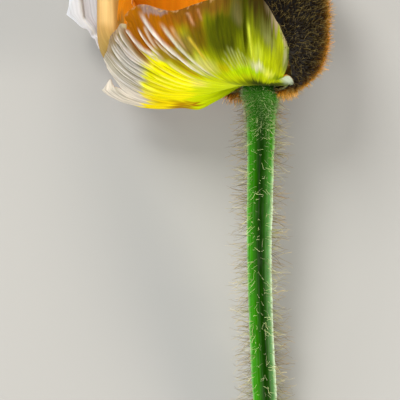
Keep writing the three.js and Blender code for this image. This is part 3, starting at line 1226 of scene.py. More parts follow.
@dataclass(frozen=True)
class Stem:
    """The stem with its receptacle: round, faintly ribbed, bristly, and cut square at its foot.

    Attributes:
        line: Its middle line from the cut end to the receptacle: aside, up, above the bloom's axis.
        radii: Its radius at a distance back from the receptacle's top.
        radius: Its radius further back.
        coats: Its coats of hair by name.
        sides: Quads round it.
        rings: Quads along it.
    """

    line: list[tuple[float, float, float]]
    radii: list[tuple[float, float]]
    radius: float
    coats: dict[str, HairCoat]
    sides: int = 72
    rings: int = 300

    GREEN = "#308200"
    # Painted shade down the stem's upper side
    DARK = "#061e00"
    # Painted rim light along both sides
    PALE = "#bce4a0"
    # Painted sheen along one side
    PAINTED_SHEEN = "#dcf0dc"
    YOUNG = "#2e5a1a"
    # Painted shadow under the petals, over the sepals' scars
    SHADOW_AND_SCAR = "#080e04"
    RIND = "#4c8a30"
    PITH = "#d6e2a8"
    BUNDLE = "#8fae4a"
    RIBS = 9
    RIB_HEIGHT = 0.035
    BUMP, RIPPLE = 0.05, 0.03  # how far it swells in patches and all round
    YOUNG_BACK = 9.0  # how far back from the top the stem is young, grey-green and downy
    PITH_SHARES = (0.12, 0.3, 0.5, 0.66, 0.76, 0.86, 0.93)  # where rings lie on the cut end
    PITH_DEPTH = 0.12
    BUNDLES = 14
    BARE_UNDER = 0.3  # no bristles this close to the table
    LEAN = (0.0, -0.18, 0.0)  # its bristles lean down a little

    def build(self) -> None:
        """Builds the stem and its coats."""
        middle = along_curve(np.array(self.line, float), self.rings + 1)
        ahead = np.gradient(middle, axis=0)
        ahead /= np.linalg.norm(ahead, axis=1, keepdims=True)
        beside = np.cross(ahead, [0, 0, 1])
        beside /= np.linalg.norm(beside, axis=1, keepdims=True)
        above = np.cross(beside, ahead)
        run = run_along(middle)
        far, wide = np.array(self.radii).T
        back = run[-1] - run
        radius = np.where(back > far[-1], self.radius, np.interp(back, far, wide))
        phi, back = np.meshgrid(angles(self.sides), back)
        rib = self.RIB_HEIGHT * np.cos(self.RIBS * phi + 0.5 * np.sin(back / 17))
        bumps = self.BUMP * swell(phi * 12 / math.pi, back * 0.8, 70) + self.RIPPLE * wave(back * 0.3, 71)
        r = radius[:, None] + (rib + bumps) * ease((back - 0.3) / 2)
        ring = np.cos(phi)[..., None] * beside[:, None] + np.sin(phi)[..., None] * above[:, None]
        wall = middle[:, None] + ring * r[..., None]

        cut, cut_colours = self.cut(middle[0], wall[0])
        points = np.concatenate([cut, wall.reshape(-1, 3), middle[-1:]])
        faces = ring_faces(self.sides, len(self.PITH_SHARES) + len(wall))
        colour = self.colours(phi, back)
        colours = np.concatenate([cut_colours, colour.reshape(-1, 3), colour[-1, :1]])
        piece = make_object("stem_skin", points, faces, colours, STEM_SKIN)
        self.steer(piece, len(cut), phi.ravel(), back.ravel(), wall[..., 2].ravel())
        carry(piece, "stem", "stem")
        for key, hairs in self.coats.items():
            carry(hairs.grow(f"stem_{key}", piece.data), "stem")

    def cut(self, middle: Array, rim: Array) -> tuple[Array, Array]:
        """The cut end, from its middle to just inside the rind.

        Args:
            middle: The stem's middle at the cut.
            rim: The wall's first ring.

        Returns:
            Points ring by ring after the middle one, and their colours.
        """
        phi = angles(self.sides)
        rings, colours = [middle[None]], [linear(self.PITH)[None]]
        for share in self.PITH_SHARES:
            ring = middle + (rim - middle) * share
            ring[:, 1] += self.PITH_DEPTH * math.cos(share * math.pi / 2) + 0.03 * wave(phi * 5, 80)
            rings.append(ring)
            bundle = ease((np.cos(self.BUNDLES * phi) - 0.2) / 0.6) * (0.7 < share < 0.9)
            colours.append(tinted(linear(self.RIND if share > 0.9 else self.PITH), self.BUNDLE, bundle))
        return np.concatenate(rings), np.concatenate(colours)

    def colours(self, phi: Array, back: Array) -> Array:
        """The wall's colours, with painted shade down its upper side and painted light along its sides.

        Args:
            phi: Places round the stem.
            back: Distances back from its top, in millimetres.

        Returns:
            Linear colours.
        """
        streaks = wave(phi * 30 / math.pi + 0.3 * np.sin(back / 5), 72)
        streaks += 0.5 * swell(phi * 24, back * 0.4, 73)
        # This band is painted shade down the stem's upper side; the stem has no groove there
        groove = np.exp(-(((phi - math.pi / 2 + 0.1 - 0.08 * np.sin(back / 9)) / 0.7) ** 2))
        # Painted rim light along both sides of the stem
        rim_light = np.abs(np.cos(phi)) ** 12 * (0.95 + 0.05 * np.cos(phi))
        # Painted sheen along one side of the stem, further back from the top
        painted_sheen = 0.7 * np.clip(np.cos(phi), 0, 1) ** 6 * ease((back - 8) / 14)
        young = 1 - ease((back - 2) / self.YOUNG_BACK)
        colour = np.broadcast_to(linear(self.GREEN), (*phi.shape, 3))
        colour = tinted(colour, self.DARK, np.clip(0.95 * groove * ease(back / 6) + 0.15 * streaks, 0, 1))
        colour = tinted(colour, self.PALE, np.clip(0.8 * rim_light + 0.05 * streaks, 0, 1) * ease(back / 5))
        colour = tinted(colour, self.PAINTED_SHEEN, painted_sheen)
        colour = tinted(colour, self.YOUNG, 0.6 * young) * (1 + 0.12 * streaks)[..., None]
        # Painted shadow at the top, under the petals, over the sepals' scars
        return tinted(colour, self.SHADOW_AND_SCAR, 0.9 * (1 - ease((back - 0.8) / 1.6)))

    def steer(self, piece: Piece, first: int, phi: Array, back: Array, z: Array) -> None:
        """Gives the stem the attributes that steer its hairs: none on the cut end, downy at the top, and
        painted light on them except where they face up.

        Args:
            piece: The stem.
            first: The wall's first vertex.
            phi: Places round the stem for each of the wall's vertices.
            back: Their distances back from the top.
            z: Their heights.
        """
        facing = np.clip(np.sin(phi), 0, 1) ** 2
        sprout = ease((back - 0.8) / 1.5) * np.where(z < BLOOM.table + self.BARE_UNDER, 0.0, 1.0)
        reach = (0.75 + 0.25 * ease((back - 3) / 8)) * (1 - 0.5 * facing)
        # Painted light: the hairs get their lit colours except on the upper side
        tint = (0.7 + 0.3 * wave(back * 3, 75)) * (1 - facing)
        set_attribute(piece, "coat", sprout * (1 - 0.75 * facing), first)
        set_attribute(piece, "young", sprout * (1 - ease((back - 3) / self.YOUNG_BACK)), first)
        set_attribute(piece, "reach", reach, first, rest=0.5)
        set_attribute(piece, "tint", tint, first, rest=0.5)
        set_attribute(piece, "lean", np.tile(self.LEAN, (len(piece.data.vertices), 1)))


# --- Ovary ---


@dataclass(frozen=True)
class Ovary:
    """The seed capsule with the velvety rays of its stigma on top, grown as one piece.

    Attributes:
        profile: Radius and height from its foot up.
        rays: Rays of the stigma.
        sides: Quads round it.
        rings: Quads along its profile.
    """

    profile: list[tuple[float, float]]
    rays: int = 10
    sides: int = 120
    rings: int = 80

    GREEN = "#8fae4e"
    DISC = "#d3d468"
    RAY = "#7d8426"
    RIB_HEIGHT = 0.12
    RAY_HEIGHT = 0.22
    RAY_WIDTH = 0.42
    SCALLOP = 0.18  # how far the disc's edge runs out at each ray
    DISC_FROM = 7.6
    DISC_TOP = 8.0
    SMOOTHINGS = 3

    def build(self) -> None:
        """Builds the capsule."""
        knots = np.array(self.profile)
        run = run_along(knots)
        even = np.linspace(0, run[-1], self.rings + 1)
        line = np.stack([np.interp(even, run, knots[:, k]) for k in (0, 1)])
        for _ in range(self.SMOOTHINGS):
            line[:, 1:-1] = (line[:, :-2] + 2 * line[:, 1:-1] + line[:, 2:]) / 4
        phi, r = np.meshgrid(angles(self.sides), line[0, 1:-1])
        h = np.broadcast_to(line[1, 1:-1, None], r.shape)
        body = ease((self.DISC_FROM - 0.4 - h) / 1.5) * ease(h / 1.5)
        disc = ease((h - self.DISC_FROM) / 0.5)
        ray = np.exp(-((np.sin(self.rays * phi / 2) * r / self.RAY_WIDTH) ** 2)) * disc * ease(r / 0.5)
        groove = (0.5 + 0.5 * np.cos(self.rays * phi)) ** 4
        scallop = self.SCALLOP * disc * np.cos(self.rays * phi) * ease((r - 2) / 0.8)
        r = r - self.RIB_HEIGHT * body * groove + scallop
        h = h + self.RAY_HEIGHT * ray * ease((h - self.DISC_TOP) / 0.4)
        wall = np.stack([r * np.cos(phi), h + OVARY_FOOT, r * np.sin(phi)], axis=-1).reshape(-1, 3)
        foot, top = ([[0, line[1, k] + OVARY_FOOT, 0]] for k in (0, -1))
        points = np.concatenate([foot, wall, top])
        colour = tinted(np.broadcast_to(linear(self.GREEN), (*r.shape, 3)), self.DISC, disc)
        colour = tinted(colour, self.RAY, 0.8 * ray) * (1 + 0.12 * swell(phi * 6, h * 2, 90))[..., None]
        colours = np.concatenate([colour[0, :1], colour.reshape(-1, 3), colour[-1, :1]])
        piece = make_object("seed_capsule", points, ring_faces(self.sides, len(r)), colours, OVARY_SKIN)
        carry(piece, "ovary", "ovary")


# --- Stamens ---


@dataclass(frozen=True)
class StamenFinish(Finish):
    """A stamen: a smooth pale filament and a powdery anther split along its side.

    Attributes:
        filament: The filament's colour.
        anther: The anther's colour.
        pollen: The colour of the grains on it.
        grain: The distance between grains in millimetres; real ones are a tenth of this, too fine to show.
    """

    filament: str = "#c9cf62"
    anther: str = "#e0a41c"
    pollen: str = "#f8d84a"
    grain: float = 0.16

    def surface(self, add: Adder) -> Node:
        """Tells filament and anther apart by the "anther" attribute, and stamens by "tone".

        Args:
            add: Adds a node to the material.

        Returns:
            The shader.
        """
        anther, tone = (add(STORED, attribute_name=name).outputs["Fac"] for name in ("anther", "tone"))
        place = add("ShaderNodeTexCoord").outputs["Object"]
        grains = add("ShaderNodeTexVoronoi", {"Vector": place, "Scale": 1 / (self.grain * MM)})
        ends = {"A": opaque(self.pollen), "B": opaque(self.anther)}
        powder = add(MIX, {0: grains, **ends}, data_type="RGBA")
        both = add(MIX, {0: anther, "A": opaque(self.filament), "B": powder}, data_type="RGBA")
        colour = add(VECTOR, {0: both, "Scale": tone}, operation="SCALE")
        bump = add(BUMP, {"Height": grains, "Distance": 0.05 * MM, "Strength": 0.5}, invert=True)
        gloss = {"Roughness": 0.7, "Specular IOR Level": 0.3, "Normal": bump}
        return add(SHADER, {"Base Color": colour, **gloss})


@dataclass(frozen=True)
class Stamens(Growth):
    """The ring of stamens round the ovary.

    Attributes:
        count: How many there are.
        shortest: The shortest filament, in millimetres.
        tallest: The tallest one.
        ring: How far from the axis the innermost filaments start.
        lean: How far out the outermost ones lean at their tips.
        filament: A filament's radius.
        anther: Half the size of an anther, across, deep and along.
    """

    count: int = 84
    shortest: float = 6.6
    tallest: float = 9.3
    ring: float = 1.75
    lean: float = 4.6
    filament: float = 0.11
    anther: tuple[float, float, float] = (0.42, 0.3, 0.95)

    GOLDEN_TURN = math.pi * (3 - math.sqrt(5))
    ASTRAY = 0.1  # how far a filament strays round the ring, in radians
    RING_DEPTH = 0.25
    TONE = (0.8, 1.15)
    CLEFT = (0.9, 0.45)  # an anther's depth grows by the first of these from the second at its cleft

    def sizes(self) -> dict:
        """Gathers what the tree's inputs are given.

        Returns:
            A value for each input, by name.
        """
        return super().sizes() | {
            "Count": self.count,
            "Shortest": self.shortest * MM,
            "Tallest": self.tallest * MM,
            "Ring": self.ring * MM,
            "Lean": self.lean * MM,
            "Filament Radius": self.filament * MM,
            "Anther": tuple(side * MM for side in self.anther),
            "Foot": tuple(float(side) for side in BLOOM.place([0, OVARY_FOOT, 0])),
        }

    def plant(self, add: Adder, given: bpy.types.bpy_prop_collection) -> Node:
        """Stands filaments with their anthers round the ovary and bows them outwards.

        Args:
            add: Adds a node to the tree.
            given: The tree's inputs.

        Returns:
            The node that gives the stamens.
        """
        tall, lean = (add(READ, {"Name": name}, data_type="FLOAT") for name in ("tall", "lean"))
        least = add(MATH, (given["Lean"], 0.5), operation="MULTIPLY")
        ranges = (
            (-self.ASTRAY, self.ASTRAY),
            (0.0, self.RING_DEPTH * MM),
            (given["Shortest"], given["Tallest"]),
            (least, given["Lean"]),
            self.TONE,
        )
        seeds = [add(MATH, (given["Seed"], step), operation="ADD") for step in (1, 2, 3, 4, 5)]
        astray, inset, *marks = (
            add(RANDOM, {"Min": low, "Max": high, "Seed": seed}, data_type="FLOAT")
            for (low, high), seed in zip(ranges, seeds)
        )

        shape = {"Vertices": 6, "Side Segments": 12, "Radius": given["Filament Radius"], "Depth": 1.0}
        filament = add("GeometryNodeMeshCylinder", shape)
        filament = add("GeometryNodeTransform", {"Geometry": filament, "Translation": (0.0, 0.0, 0.5)})
        ball = add("GeometryNodeMeshUVSphere", {"Segments": 12, "Rings": 8, "Radius": 1.0})
        position = add("GeometryNodeInputPosition")
        x, y, z = add(SPLIT, (position,)).outputs
        cleft = add(MATH, (add(MATH, (x,), operation="ABSOLUTE"), self.CLEFT[0]), operation="MULTIPLY")
        cleft = add(MATH, (cleft, self.CLEFT[1]), operation="ADD")
        narrowed = add(JOIN, (x, add(MATH, (y, cleft), operation="MULTIPLY"), z))
        anther = add(MOVE, {"Geometry": ball, "Position": narrowed})

        index = add("GeometryNodeInputIndex")
        angle = add(MATH, (index, self.GOLDEN_TURN, astray), operation="MULTIPLY_ADD")
        start = add(MATH, (given["Ring"], inset), operation="ADD")
        cosine, sine = (add(MATH, (angle,), operation=side) for side in ("COSINE", "SINE"))
        aside, above = (add(MATH, (start, side), operation="MULTIPLY") for side in (cosine, sine))
        place = add(VECTOR, (add(JOIN, {"X": aside, "Z": above}), given["Foot"]), operation="ADD")
        ring = add("GeometryNodePoints", {"Count": given["Count"]})
        ring = add(MOVE, {"Geometry": ring, "Position": place})
        for name, mark in zip(("tall", "lean", "tone"), marks):
            stored = {"Geometry": ring, "Name": name, "Value": mark}
            ring = add(STORE, stored, data_type="FLOAT", domain="POINT")

        euler = add(JOIN, {"X": -math.pi / 2, "Y": angle})
        turned = add("FunctionNodeEulerToRotation", {"Euler": euler})
        raised = add(MOVE, {"Geometry": ring, "Offset": add(JOIN, {"Y": tall})})
        long = add(JOIN, (1.0, 1.0, tall))
        halves = ((ring, filament, long), (raised, anther, given["Anther"]))
        planted = []
        for is_anther, (feet, part, size) in enumerate(halves):
            stored = {"Geometry": part, "Name": "anther", "Value": is_anther}
            part = add(STORE, stored, data_type="FLOAT", domain="POINT")
            planting = {"Points": feet, "Instance": part, "Rotation": turned, "Scale": size}
            planted.append(add(PLANT, planting))
        joined = add("GeometryNodeJoinGeometry", (planted,))
        real = add("GeometryNodeRealizeInstances", {"Geometry": joined})

        away = add(VECTOR, (position, given["Foot"]), operation="SUBTRACT")
        flat = add(VECTOR, (away, (1.0, 0.0, 1.0)), operation="MULTIPLY")
        outward = add(VECTOR, (flat,), operation="NORMALIZE")
        climbed = add(MATH, (add(SPLIT, (away,)).outputs["Y"], tall), operation="DIVIDE")
        climbed = add(MATH, (climbed, 1.0), operation="MINIMUM")
        left = add(MATH, (1.0, climbed), operation="SUBTRACT")
        bow = add(MATH, (1.0, add(MATH, (left, left), operation="MULTIPLY")), operation="SUBTRACT")
        bow = add(MATH, (lean, bow), operation="MULTIPLY")
        offset = add(VECTOR, {0: outward, "Scale": bow}, operation="SCALE")
        bent = add(MOVE, {"Geometry": real, "Offset": offset})
        return add("GeometryNodeSetShadeSmooth", {"Geometry": bent})


# --- Studio ---


@dataclass(frozen=True)
class Lamp:
    """A large soft box far away, as even light from one side.

    Attributes:
        name: What it is for.
        toward: The direction from the bloom to it.
        strength: The light that it throws on a surface that faces it, in watts to a square metre.
        spread: The angle that it takes up as seen from the bloom, in degrees.
        colour: Its colour.
    """

    name: str
    toward: tuple[float, float, float]
    strength: float
    spread: float
    colour: str = "#ffffff"

    def build(self) -> None:
        """Adds the light."""
        light = bpy.data.lights.new(self.name, "SUN")
        light.energy, light.angle, light.color = self.strength, math.radians(self.spread), linear(self.colour)
        x, y, z = -np.array(self.toward) / np.linalg.norm(self.toward)
        body = bpy.data.objects.new(self.name, light)
        body.rotation_euler = (math.acos(-z), 0.0, math.atan2(x, -y) + math.pi)
        bpy.context.scene.collection.objects.link(body)


@dataclass(frozen=True)
class Paper(Finish):
    """Uncoated paper: it scatters light evenly, so it shows soft shadows and no glare.

    Attributes:
        colour: Its colour.
    """

    colour: str = "#a3a29e"

    def surface(self, add: Adder) -> Node:
        """Adds the paper's shader."""
        return add(SHADER, {"Base Color": opaque(self.colour), "Roughness": 0.9, "Specular IOR Level": 0.1})


@dataclass(frozen=True)
class Studio:
    """A plain pale floor, soft light and the camera above.

    Attributes:
        lamps: The soft boxes.
        ambient: The strength of the even light.
        camera_height: From the bloom's axis to the camera, in metres.
        field: The width that the camera takes in at the bloom's axis, in millimetres.
        aim: Where it looks, in the bloom's frame, in millimetres.
    """

    lamps: list[Lamp]
    ambient: float = 0.55
    camera_height: float = 0.9
    field: float = 60.0
    aim: tuple[float, float] = (-9.15, -16.8)

    SENSOR = 36.0
    NEAR, FAR = 0.05, 5.0
    FLOOR_SIDE = 30.0
    SKY = "#f4f6fa"

    def build(self) -> None:
        """Sets up the floor, the light and the camera."""
        self.lay_floor()
        self.hang_camera()
        for lamp in self.lamps:
            lamp.build()
        world = bpy.data.worlds.new("Even light")
        world.use_nodes = True
        sky = world.node_tree.nodes["Background"].inputs
        sky["Strength"].default_value = self.ambient
        sky["Color"].default_value = opaque(self.SKY)
        bpy.context.scene.world = world
        bpy.context.scene.view_settings.view_transform = "Standard"

    def lay_floor(self) -> None:
        """Lays the floor under the flower."""
        half = self.FLOOR_SIDE / 2
        corners = [(-half, -half, 0), (half, -half, 0), (half, half, 0), (-half, half, 0)]
        mesh = bpy.data.meshes.new("floor")
        mesh.from_pydata(corners, [], [(0, 1, 2, 3)])
        mesh.materials.append(Paper("Matt paper backdrop").material())
        floor = bpy.data.objects.new("floor", mesh)
        bpy.context.scene.collection.objects.link(floor)

    def hang_camera(self) -> None:
        """Hangs the camera over the flower, looking straight down."""
        lens = bpy.data.cameras.new("camera")
        lens.sensor_width = self.SENSOR
        lens.lens = self.SENSOR * self.camera_height / (self.field * MM)
        lens.clip_start, lens.clip_end = self.NEAR, self.FAR
        camera = bpy.data.objects.new("camera", lens)
        camera.location = BLOOM.place([*self.aim, 0]) + np.array([0, 0, self.camera_height])
        bpy.context.scene.collection.objects.link(camera)
        bpy.context.scene.camera = camera


# --- This flower's ribs and line ---

FRONT_RIBS = [
    Rib(184, 23.9, -0.2, 90, dip=3.4, belly=0.8), Rib(179, 21.8, 0.8, 90, full=2.2, dip=3, belly=0.5),
    Rib(175, 24.3, 7, 74, full=2.8, dip=2.4, belly=0.2), Rib(168, 24.3, 8, 74, full=2.3, dip=1.9),
    Rib(160, 24.3, 9.4, 78, dip=1.4), Rib(151, 24.2, 10.8, 81, dip=0.9),
    Rib(144, 23.6, 12.6, 87, dip=0.6), Rib(132, 20.2, 12.9, 87, dip=0.4),
    Rib(119, 15.2, 11.8, 94, dip=0.5, crown=20), Rib(104, 12.4, 10, 105, crown=20),
    Rib(90, 11.5, 8.5, 104, dip=0.35, crown=20), Rib(77, 10.8, 7, 96, full=2.2, dip=0.3, crown=20),
    Rib(67, 10.4, 6, 90, full=2.4, crown=20),
]
BACK_RIBS = [
    Rib(190, 25.4, 11.6, 90, full=3.4, flare=4.2), Rib(196, 23.5, 10.6, 105, full=2.7, flare=4.8),
    Rib(203, 20.9, 9, 112, flare=3), Rib(212, 16.6, 9, 116, flare=1), Rib(225, 12.6, 9.5, 118, flare=0.6),
    Rib(239, 10.3, 9.5, 118), Rib(249, 9.5, 9.5, 114, crown=26), Rib(259, 9.1, 9.5, 120, crown=12),
    Rib(280, 9, 9.5, 122, crown=12), Rib(304, 9, 9.5, 122, crown=12), Rib(328, 8.9, 9.5, 122, crown=12),
]
LEFT_RIBS = [
    Rib(152, 22.5, 10, 98, full=2.4, crown=40), Rib(155.8, 22.6, 10, 99, full=2.4, crown=40),
    Rib(159.5, 23.1, 10, 99, full=2.4, crown=40), Rib(167, 24.3, 10, 107, full=2.3, crown=40),
    Rib(176, 24.5, 10, 110, full=3.2, crown=31), Rib(187, 24.1, 10, 111, full=4, crown=27),
    Rib(198, 21.8, 10, 110, full=2.5, crown=36), Rib(209, 15.8, 9.5, 110, crown=40),
    Rib(221, 11.4, 9.5, 110, crown=36), Rib(234, 9.3, 9.5, 106, crown=34),
]
RIGHT_RIBS = [
    Rib(98, 8.5, 9, 114, crown=20), Rib(70, 8.6, 9, 128, crown=12), Rib(35, 8.7, 9.5, 132, crown=12),
    Rib(0, 8.6, 9.5, 132, crown=12), Rib(-35, 8.2, 9.5, 130, crown=12), Rib(-68, 8.1, 9.5, 122, crown=12),
    Rib(-98, 7.8, 9.5, 120, crown=12), Rib(-118, 8.1, 9.5, 114, crown=28),
]
CAP_RIBS = [
    Rib(44, 9.5, 9.5, 172, full=2.25, crown=13, sweep=120),
    Rib(26, 9.5, 9.5, 172, full=2.3, crown=13, sweep=74),
    Rib(4, 9.6, 9.4, 172, full=2.35, crown=13, sweep=32), Rib(-22, 9.7, 9.5, 172, full=2.5, crown=13),
    Rib(-50, 10, 9.5, 172, full=2.2, crown=13), Rib(-76, 10.2, 9.5, 172, crown=13),
    Rib(-100, 10.2, 9.5, 172, crown=13),
]
FALLEN_CAP_RIBS = [
    Rib(209, 20.6, 9.5, 108, dip=1, crown=22), Rib(216, 17.5, 9.5, 112, dip=1.2, crown=22),
    Rib(226, 14.4, 9.5, 116, dip=1.2, crown=22), Rib(238, 12.1, 9.5, 116, dip=1, crown=22),
    Rib(252, 10.8, 9.5, 110, dip=0.6, crown=22),
]
STEM_LINE = [
    (3.4, -78, -8.7), (2.3, -67, -8.4), (1.3, -56, -7.3), (0.6, -46.5, -6.1), (0.15, -38, -4.9),
    (-0.15, -30, -3.7), (-0.25, -23, -2.6), (-0.15, -16, -1.6), (-0.05, -9, -0.7), (0, -3, -0.1),
    (0, 1.6, 0),
]
STEM_RADII = [
    (0, 2.0), (0.4, 2.5), (1.4, 2.65), (2.2, 2.85), (2.9, 2.72), (3.8, 2.46), (6, 2.14), (12, 2),
    (19, 1.95), (26, 1.85), (33, 1.82),
]
STEM_RADIUS = 1.8
OVARY_PROFILE = [
    (0, 0), (1.15, 0), (1.9, 0.7), (2.75, 2.2), (3.1, 4), (2.95, 5.6), (2.35, 7), (2.1, 7.5), (2.85, 7.9),
    (2.9, 8.4), (1.6, 8.8), (0, 9),
]

# --- This flower's paint ---

WHITE = "#dadace"
# The front petal's pleats. Their crest tints are partly painted light: the pale ones on raised pleats are
# partly the petal's white and partly painted highlight, and the dark ones in sunk pleats are painted shade.
FRONT_PLEATS = (
    ((0.62, 0.146, 0.97, 0.14), 0.004, -0.1, "#a8a492", 0.5),
    ((0.6, 0.18, 0.97, 0.176), 0.004, -0.12, "#a09a82", 0.6),
    ((0.58, 0.213, 0.97, 0.21), 0.004, -0.12, "#98916e", 0.7),
    ((0.56, 0.238, 0.97, 0.241), 0.004, -0.12, "#988f68", 0.7),
    ((0.56, 0.25, 0.97, 0.254), 0.006, 0.15, "#dcdad6", 0.6),
    ((0.5, 0.269, 0.75, 0.27, 0.98, 0.285), 0.009, -0.3, "#7c7238", 0.9),
    ((0.58, 0.281, 0.8, 0.283, 0.97, 0.293), 0.0035, 0.15, "#d8d4c4", 0.8),
    ((0.6, 0.291, 0.8, 0.293, 0.97, 0.301), 0.004, -0.15, "#8a8250", 0.85),
    ((0.57, 0.303, 0.8, 0.302, 0.97, 0.31), 0.006, 0.25, WHITE, 0.9),
    ((0.5, 0.317, 0.75, 0.314, 0.98, 0.32), 0.0045, -0.2, "#746a30", 0.9),
    ((0.6, 0.326, 0.8, 0.324, 0.97, 0.327), 0.0035, 0.2, "#dedad2", 0.9),
    ((0.58, 0.334, 0.8, 0.332, 0.97, 0.333), 0.003, -0.1, "#908858", 0.7),
    ((0.56, 0.342, 0.8, 0.34, 0.93, 0.336), 0.004, 0.25, "#e0dcd8", 0.9),
    ((0.4, 0.365, 0.6, 0.356, 0.8, 0.352, 0.98, 0.342), 0.0085, -0.4, "#6a6410", 1.0),
    ((0.54, 0.376, 0.7, 0.37, 0.85, 0.364, 0.98, 0.354), 0.0045, 0.25, "#e2ded6", 0.9),
    ((0.6, 0.385, 0.75, 0.3795, 0.96, 0.366), 0.0028, -0.1, "#a09a78", 0.6),
    ((0.53, 0.396, 0.7, 0.392, 0.85, 0.384, 0.98, 0.374), 0.006, 0.3, "#e4e0da", 0.95),
    ((0.78, 0.397, 0.97, 0.387), 0.005, -0.15, "#746c28", 0.85),
    ((0.55, 0.411, 0.76, 0.409, 0.99, 0.4), 0.0045, 0.25, WHITE, 0.95),
    ((0.58, 0.42, 0.8, 0.4185, 0.98, 0.412), 0.003, -0.15, "#8c7a38", 0.8),
    ((0.58, 0.435, 0.7, 0.433, 0.98, 0.427), 0.014, -0.35, "#8a5210", 0.95),
    ((0.3, 0.1, 0.45, 0.105, 0.6, 0.11), 0.004, -0.12, "#d0b400", 0.6),
    ((0.28, 0.16, 0.45, 0.162, 0.62, 0.16), 0.0045, -0.15, "#c8b000", 0.6),
    ((0.28, 0.2, 0.45, 0.203, 0.66, 0.2), 0.0035, -0.15, "#b8a400", 0.7),
    ((0.3, 0.232, 0.5, 0.235, 0.66, 0.232), 0.004, 0.2, "#fffa70", 0.3),
    ((0.28, 0.252, 0.5, 0.254, 0.6, 0.252), 0.0045, -0.2, "#a89800", 0.8),
    ((0.3, 0.298, 0.45, 0.3, 0.6, 0.3), 0.004, 0.2, "#fff870", 0.6),
    ((0.28, 0.315, 0.45, 0.317, 0.55, 0.317), 0.004, -0.2, "#a89c00", 0.8),
    ((0.3, 0.345, 0.42, 0.344, 0.56, 0.342), 0.0045, 0.2, "#fffa88", 0.4),
    ((0.28, 0.395, 0.42, 0.394, 0.54, 0.392), 0.0045, 0.25, "#fffc90", 0.6),
    ((0.3, 0.452, 0.42, 0.452, 0.56, 0.45), 0.005, 0.2, "#fffa80", 0.6),
    ((0.3, 0.478, 0.42, 0.476, 0.54, 0.472), 0.004, -0.15, "#b8ac00", 0.7),
    ((0.4, 0.425, 0.6, 0.425), 0.01, -0.2, "#b0a000", 0.7),
    ((0.35, 0.28, 0.6, 0.278), 0.012, -0.2, "#c0b000", 0.6),
    ((0.54, 0.447, 0.7, 0.45, 0.82, 0.447), 0.006, 0.15, "#c8a890", 0.7),
    ((0.5, 0.512, 0.58, 0.498, 0.68, 0.476, 0.79, 0.461, 0.97, 0.4436), 0.0065, 0.4, WHITE, 1.0),
    ((0.53, 0.487, 0.63, 0.474, 0.76, 0.46), 0.006, 0.2, "#d4d0b8", 0.9),
    ((0.54, 0.51, 0.7, 0.504, 0.84, 0.4985), 0.0035, 0.25, "#f0f0e0", 1.0),
    ((0.62, 0.517, 0.84, 0.519), 0.0035, 0.15, "#e8dcc0", 0.8),
    ((0.26, 0.508, 0.55, 0.511), 0.006, 0.2, "#f2f0a0", 0.7),
    ((0.26, 0.535, 0.58, 0.53), 0.014, -0.35, "#a89a08", 0.9),
    (
        (0.28, 0.566, 0.42, 0.565, 0.52, 0.56, 0.65, 0.548, 0.8, 0.531, 0.96, 0.516),
        0.005, 0.45, "#eef2ea", 1.0,
    ),
    ((0.52, 0.544, 0.74, 0.526), 0.0035, 0.15, "#dcd8b8", 0.8),
    (
        (0.26, 0.606, 0.4, 0.595, 0.5, 0.586, 0.6, 0.577, 0.72, 0.568, 0.87, 0.556),
        0.0045, 0.35, "#e0e6d0", 0.95,
    ),
    ((0.3, 0.587, 0.52, 0.573), 0.005, 0.15, "#d0d890", 0.7),
    ((0.6, 0.588, 0.84, 0.575), 0.004, 0.15, "#c8a878", 0.7),
    ((0.5, 0.622, 0.62, 0.614, 0.76, 0.603), 0.004, 0.2, "#d0bc38", 0.9),
    ((0.8, 0.625, 0.95, 0.612), 0.003, 0.15, "#c8a078", 0.7),
    ((0.84, 0.642, 0.96, 0.634), 0.0025, 0.12, "#c89468", 0.6),
    *(
        ((0.38, at + 0.02, 0.48, at + 0.012, top - 0.04, at), 0.003, 0.1, "#ccda84", 0.8 * strength)
        for at, top, strength in (
            (0.668, 0.6, 0.35), (0.682, 0.66, 0.45), (0.694, 0.7, 0.4), (0.705, 0.68, 0.6),
            (0.716, 0.64, 0.55), (0.727, 0.66, 0.5), (0.739, 0.62, 0.5), (0.75, 0.58, 0.35),
        )
    ),
    ((0.5, 0.764, 0.8, 0.764, 1.04, 0.76), 0.009, -0.35, "#3c4000", 0.8),
    ((0.42, 0.795, 0.6, 0.784, 0.88, 0.774), 0.006, 0.35, "#d4e440", 0.85),
)
